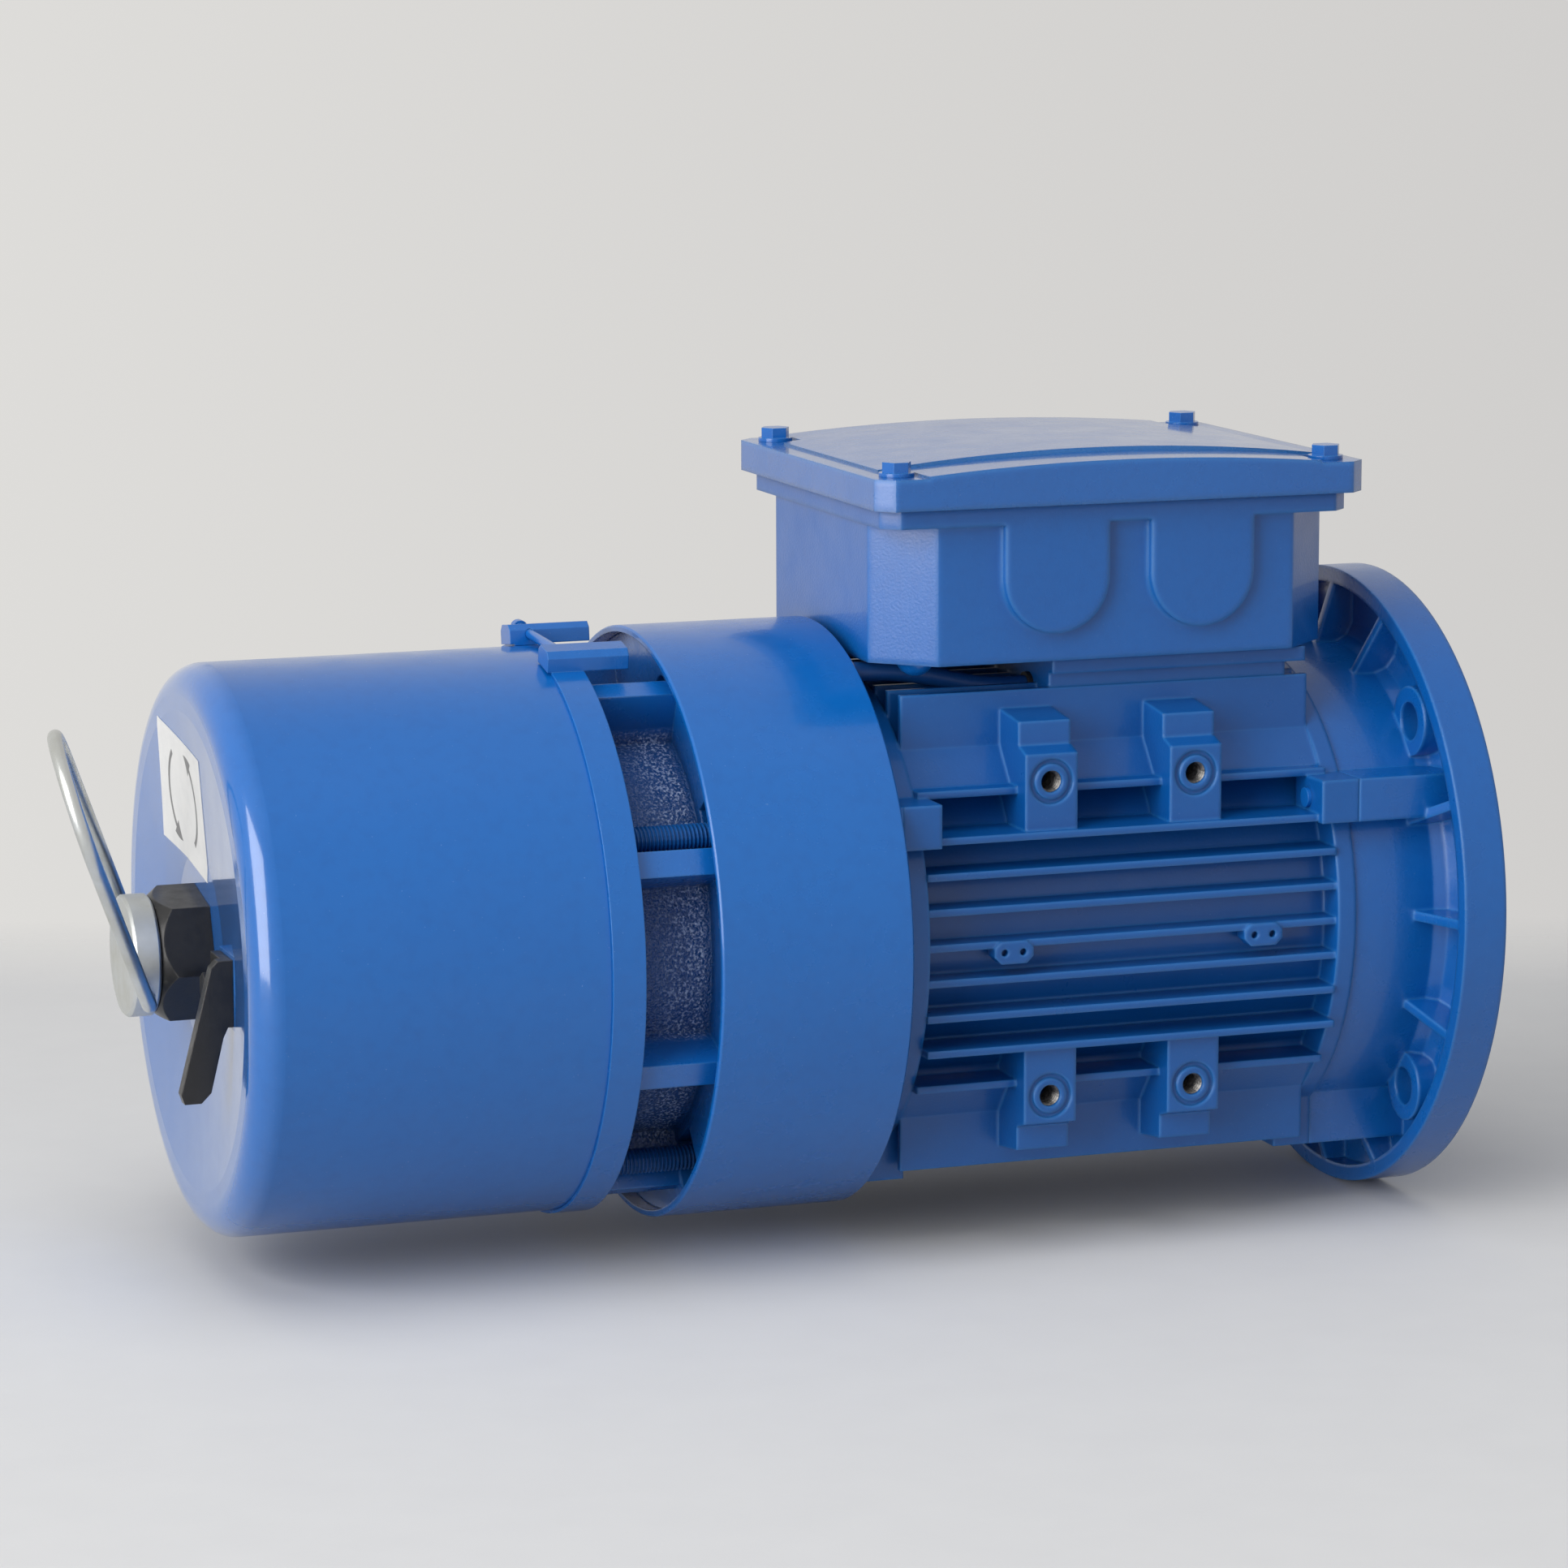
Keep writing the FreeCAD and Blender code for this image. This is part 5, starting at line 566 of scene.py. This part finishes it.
# Clamp band: a thin steel strap with a folded bar at each end, drawn tight on the cover by a small screw.
# It was on the motor when it was sprayed.

dress(painted("painted clamp band", grain_scale=700.0, depth=0.00004, dullness=0.24, edge=0.0005,
              coat=0.3),
      "clamp_band", "clamp_screw")

# Hand release: a black hexagon bush in the cover's end, and a zinc-plated knob that turns in it.
# Blacking leaves the bush satin, and handling has worn its corners bright.


def blacked(name):
    """Blacked steel, rubbed to a warm grey and chipped along its edges."""
    black, rubbed_black = (0.004, 0.004, 0.005, 1), (0.016, 0.015, 0.015, 1)
    bare_steel = (0.14, 0.13, 0.125, 1)
    made, tree, shader = material(name, IOR=1.5, Coat_Weight=0.15, Coat_Roughness=0.2)
    edges = use(tree, soft_edge, Radius=0.0007)
    rub = grain(tree, 240.0, 5.0)
    tone = blended(tree, spread(tree, rub, 0.4, 0.75, 0.0, 0.5), black, rubbed_black)
    chipped = times(tree, edges["Edge"], spread(tree, rub, 0.42, 0.6, 0.05, 0.6))
    tone = blended(tree, chipped, tone, bare_steel)
    rough = spread(tree, rub, 0.3, 0.7, 0.28, 0.46)
    surface(tree, shader, tone, rough, grain(tree, 900.0), 0.00004, edges["Normal"])
    return made


dress(blacked("blacked bush"), "hex_bush")
dress(plated("plated release knob", dullness=0.44, edge=0.0005), "release_knob")

# Release bail: a bent steel wire that hinges in the knob's cross hole and turns it when it is pulled over.
# The drawn wire is zinc plated after bending.

dress(plated("plated bail wire", dullness=0.34), "release_bail")

# Bail catch: a black steel plate screwed beside the release, which stops the bail from swinging down.
# It is cut from sheet, bent at its foot and blacked.

dress(blacked("blacked catch plate"), "bail_catch", "catch_screw")

# Direction sticker: a white film stuck on the cover's end, turned a little as it was put on by hand.
# It lies over the dished face, and two curved arrows printed in grey show which way the knob turns.

label_w, label_h, label_t, label_turn = 0.0505, 0.0382, 0.00016, math.radians(7.5)
label_mid = Vector((cover_end, 0.0114, 0.0449))
held_off, glue_gap, grid_cells = 0.01, 0.00004, 40
bpy.ops.object.select_all(action="DESELECT")
bpy.ops.mesh.primitive_grid_add(
    x_subdivisions=grid_cells, y_subdivisions=grid_cells, size=1, rotation=(0, -math.pi / 2, 0))
sticker = bpy.context.active_object
sticker.name = "white_sticker"
settle(sticker)
sticker.scale = (1, label_w, label_h)
settle(sticker)
sticker.rotation_euler = (label_turn, 0, 0)
sticker.location = label_mid - Vector((held_off, 0, 0))
settle(sticker)
press = sticker.modifiers.new("press", "SHRINKWRAP")
press.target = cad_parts["brake_cover"]
press.wrap_method = "PROJECT"
press.use_project_x = True
press.use_project_y = press.use_project_z = False
press.use_positive_direction = True
press.use_negative_direction = False
press.offset = glue_gap
bpy.ops.object.modifier_apply(modifier="press")
face_outwards()
thicken = sticker.modifiers.new("thicken", "SOLIDIFY")
thicken.thickness = label_t
thicken.offset = 1.0
bpy.ops.object.modifier_apply(modifier="thicken")
bpy.ops.object.shade_smooth_by_angle(angle=math.radians(30))

clean_white, scuffed_white, ink_grey = (0.72, 0.72, 0.715, 1), (0.62, 0.63, 0.64, 1), (0.16, 0.16, 0.165, 1)
arrow_r, line_half_w, head_half_w = 0.0155, 0.0009, 0.0032
tail_end, head_base, head_tip = 0.9, -0.85, -1.3
film, tree, shader = material("white vinyl film", IOR=1.46, Coat_Weight=0.2, Coat_Roughness=0.3)
scuff = grain(tree, 120.0, 5.0)
white = blended(tree, spread(tree, scuff, 0.4, 0.75, 0.0, 0.5), clean_white, scuffed_white)
on_label = put(tree, "ShaderNodeMapping", {"vector_type": "TEXTURE"}, Location=label_mid,
               Rotation=(label_turn, 0, 0), Vector=own_place(tree)).outputs[0]
parts = split(tree, on_label)
round_by = sums(tree, "ARCTAN2", parts["Z"], parts["Y"])
half_turn = sums(tree, "FLOORED_MODULO", plus(tree, round_by, math.pi / 2), math.pi)
half_turn = sums(tree, "SUBTRACT", half_turn, math.pi / 2)
tail = times(tree, sums(tree, "LESS_THAN", half_turn, tail_end),
             sums(tree, "GREATER_THAN", half_turn, head_base))
head = times(tree, spread(tree, half_turn, head_tip, head_base, 0.0, head_half_w),
             sums(tree, "LESS_THAN", half_turn, head_base))
reach = plus(tree, times(tree, tail, line_half_w), head)
off_line = sums(tree, "ABSOLUTE", sums(tree, "SUBTRACT", off_axis(tree, parts), arrow_r))
tone = blended(tree, sums(tree, "LESS_THAN", off_line, reach), white, ink_grey)
surface(tree, shader, tone, spread(tree, scuff, 0.3, 0.7, 0.38, 0.52))
sticker.data.materials.append(film)
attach(sticker, "motor")

# Terminal box: an aluminium die casting gasketed to the frame's pedestal, with pads for cable entries.
# Its walls are left as cast under the paint, with the mould's fine sandy grain.

box_blue = (0.002, 0.094, 0.365, 1)
dress(painted("painted box casting", grain_scale=1300.0, depth=0.00009, dullness=0.33, edge=0.003,
              coat=0.4, paint=box_blue),
      "terminal_box")

# Terminal lid: a cast cover with a crowned top and a raised panel, held on its gasket by four screws.
# It is sprayed in place, so the screw heads are blue too.

lid_blue = (0.002, 0.096, 0.37, 1)
dress(painted("painted lid casting", grain_scale=1200.0, depth=0.00007, dullness=0.26, edge=0.003,
              coat=0.7, paint=lid_blue),
      "terminal_lid")
dress(painted("painted lid screws", grain_scale=1500.0, depth=0.00003, dullness=0.26, edge=0.0004,
              coat=0.5),
      "lid_screws", "entry_plug")

# Brake lead: a round cable from the pedestal over the frame's rear end to the brake's magnet.
# Its sheath was sprayed over with the motor.

lead_blue = (0.002, 0.05, 0.22, 1)
dress(painted("painted cable sheath", grain_scale=900.0, depth=0.00006, dullness=0.5, edge=0.0003,
              coat=0.1, paint=lead_blue),
      "brake_lead")

# Bench and light: a pale bench top, a pale room, a tall window to the left and soft light from above.
# The bench's edges fade into the room.


def shown(tree):
    """One where the eye, a mirror or glass looks, and nought where light only bounces."""
    path = tree.nodes.new("ShaderNodeLightPath").outputs
    return sums(tree, "MAXIMUM", path["Is Camera Ray"],
                sums(tree, "MAXIMUM", path["Is Glossy Ray"], path["Is Transmission Ray"]))


bench_w, bench_d, bench_forward = 3.2, 2.2, 0.6
bench_turn = math.radians(-19.17)
bench_mid = Vector((-0.2007, 0, cad_box[0].z))
bounce_grey, bench_grey, bench_pale = (0.58, 0.58, 0.58, 1), (0.72, 0.72, 0.725, 1), (0.76, 0.76, 0.76, 1)
bpy.ops.object.select_all(action="DESELECT")
bpy.ops.mesh.primitive_plane_add(size=1)
bench = bpy.context.active_object
bench.name = "bench"
bench.scale = (bench_w, bench_d, 1)
bench.location = (0, -bench_forward, 0)
settle(bench)
bench.rotation_euler = (0, 0, bench_turn)
bench.location = bench_mid
pale, tree, shader = material("pale bench top", Roughness=0.7, IOR=1.4)
top = blended(tree, grain(tree, 40.0, 4.0), bench_grey, bench_pale)
tree.links.new(blended(tree, shown(tree), bounce_grey, top), shader.inputs["Base Color"])
parts = split(tree, own_place(tree))
far_fade = spread(tree, parts["Y"], 0.5, 0.36, 0.0, 1.0)
near_fade = spread(tree, parts["Y"], -1.68, -1.0, 0.0, 1.0)
side_fade = spread(tree, sums(tree, "ABSOLUTE", parts["X"]), 1.55, 0.95, 0.0, 1.0)
tree.links.new(times(tree, far_fade, times(tree, near_fade, side_fade)), shader.inputs["Alpha"])
bench.data.materials.append(pale)

wall_left, wall_right, daylight = (0.74, 0.73, 0.71, 1), (0.62, 0.61, 0.6, 1), (0.97, 0.98, 1.0, 1)
brightest_way = (-0.45, -0.6, 0.66)
room = bpy.data.worlds.new("pale room")
bpy.context.scene.world = room
room.use_nodes = True
tree = room.node_tree
tree.nodes.clear()
way = tree.nodes.new("ShaderNodeTexCoord").outputs["Generated"]
shade = blended(tree, spread(tree, split(tree, way)["X"], 0.15, 0.5, 0.0, 1.0), wall_left, wall_right)
wall = put(tree, "ShaderNodeBackground", Color=shade, Strength=1.0)
facing = put(tree, "ShaderNodeVectorMath", {"operation": "DOT_PRODUCT"}, _0=way, _1=brightest_way)
strength = spread(tree, facing.outputs["Value"], -0.5, 1.0, 0.1, 0.54)
fill = put(tree, "ShaderNodeBackground", Color=daylight, Strength=strength)
both = put(tree, "ShaderNodeMixShader", _0=shown(tree), _1=fill.outputs[0], _2=wall.outputs[0])
tree.links.new(both.outputs[0], tree.nodes.new("ShaderNodeOutputWorld").inputs["Surface"])

for name, at, aim, size, power, colour, mirrored in (
    ("window", (-3.02, -1.445, 0.985), (-0.3, 0, 0.05), (2.38, 3.23), 112, (1.0, 0.99, 0.97), True),
    ("overhead", (-0.5, -0.5, 1.9), (-0.2, 0, 0), (1.6, 1.6), 14, (1.0, 1.0, 1.0), False),
):
    lamp = bpy.data.lights.new(name, "AREA")
    lamp.shape = "RECTANGLE"
    lamp.size, lamp.size_y = size
    lamp.energy = power
    lamp.color = colour
    held = bpy.data.objects.new(name, lamp)
    bpy.context.collection.objects.link(held)
    held.visible_glossy = mirrored
    held.location = at
    held.rotation_euler = (Vector(aim) - Vector(at)).to_track_quat("-Z", "Y").to_euler()

# Camera: a long lens at the height of the brake, a little above the motor and round towards its rear end.
# Its place and its three axes put the flange, the box and the cover where the photograph has them.

camera_place = Vector((-0.7389, -1.5480, 0.3158))
camera_roll = math.radians(-0.19)
lens = bpy.data.cameras.new("camera")
lens.sensor_width = 36.0
lens.lens = 122.24
lens.clip_start, lens.clip_end = 0.05, 20.0
camera = bpy.data.objects.new("camera", lens)
bpy.context.collection.objects.link(camera)
back = Vector((-0.3238, -0.9314, 0.1659)).normalized()
right = Vector((0.9445, -0.3284, 0.0)).normalized()
up = back.cross(right).normalized()
turned = Matrix.Rotation(camera_roll, 3, back) @ Matrix((right, up, back)).transposed()
camera.matrix_world = Matrix.Translation(camera_place) @ turned.to_4x4()
bpy.context.scene.camera = camera
bpy.context.scene.view_settings.view_transform = "Standard"
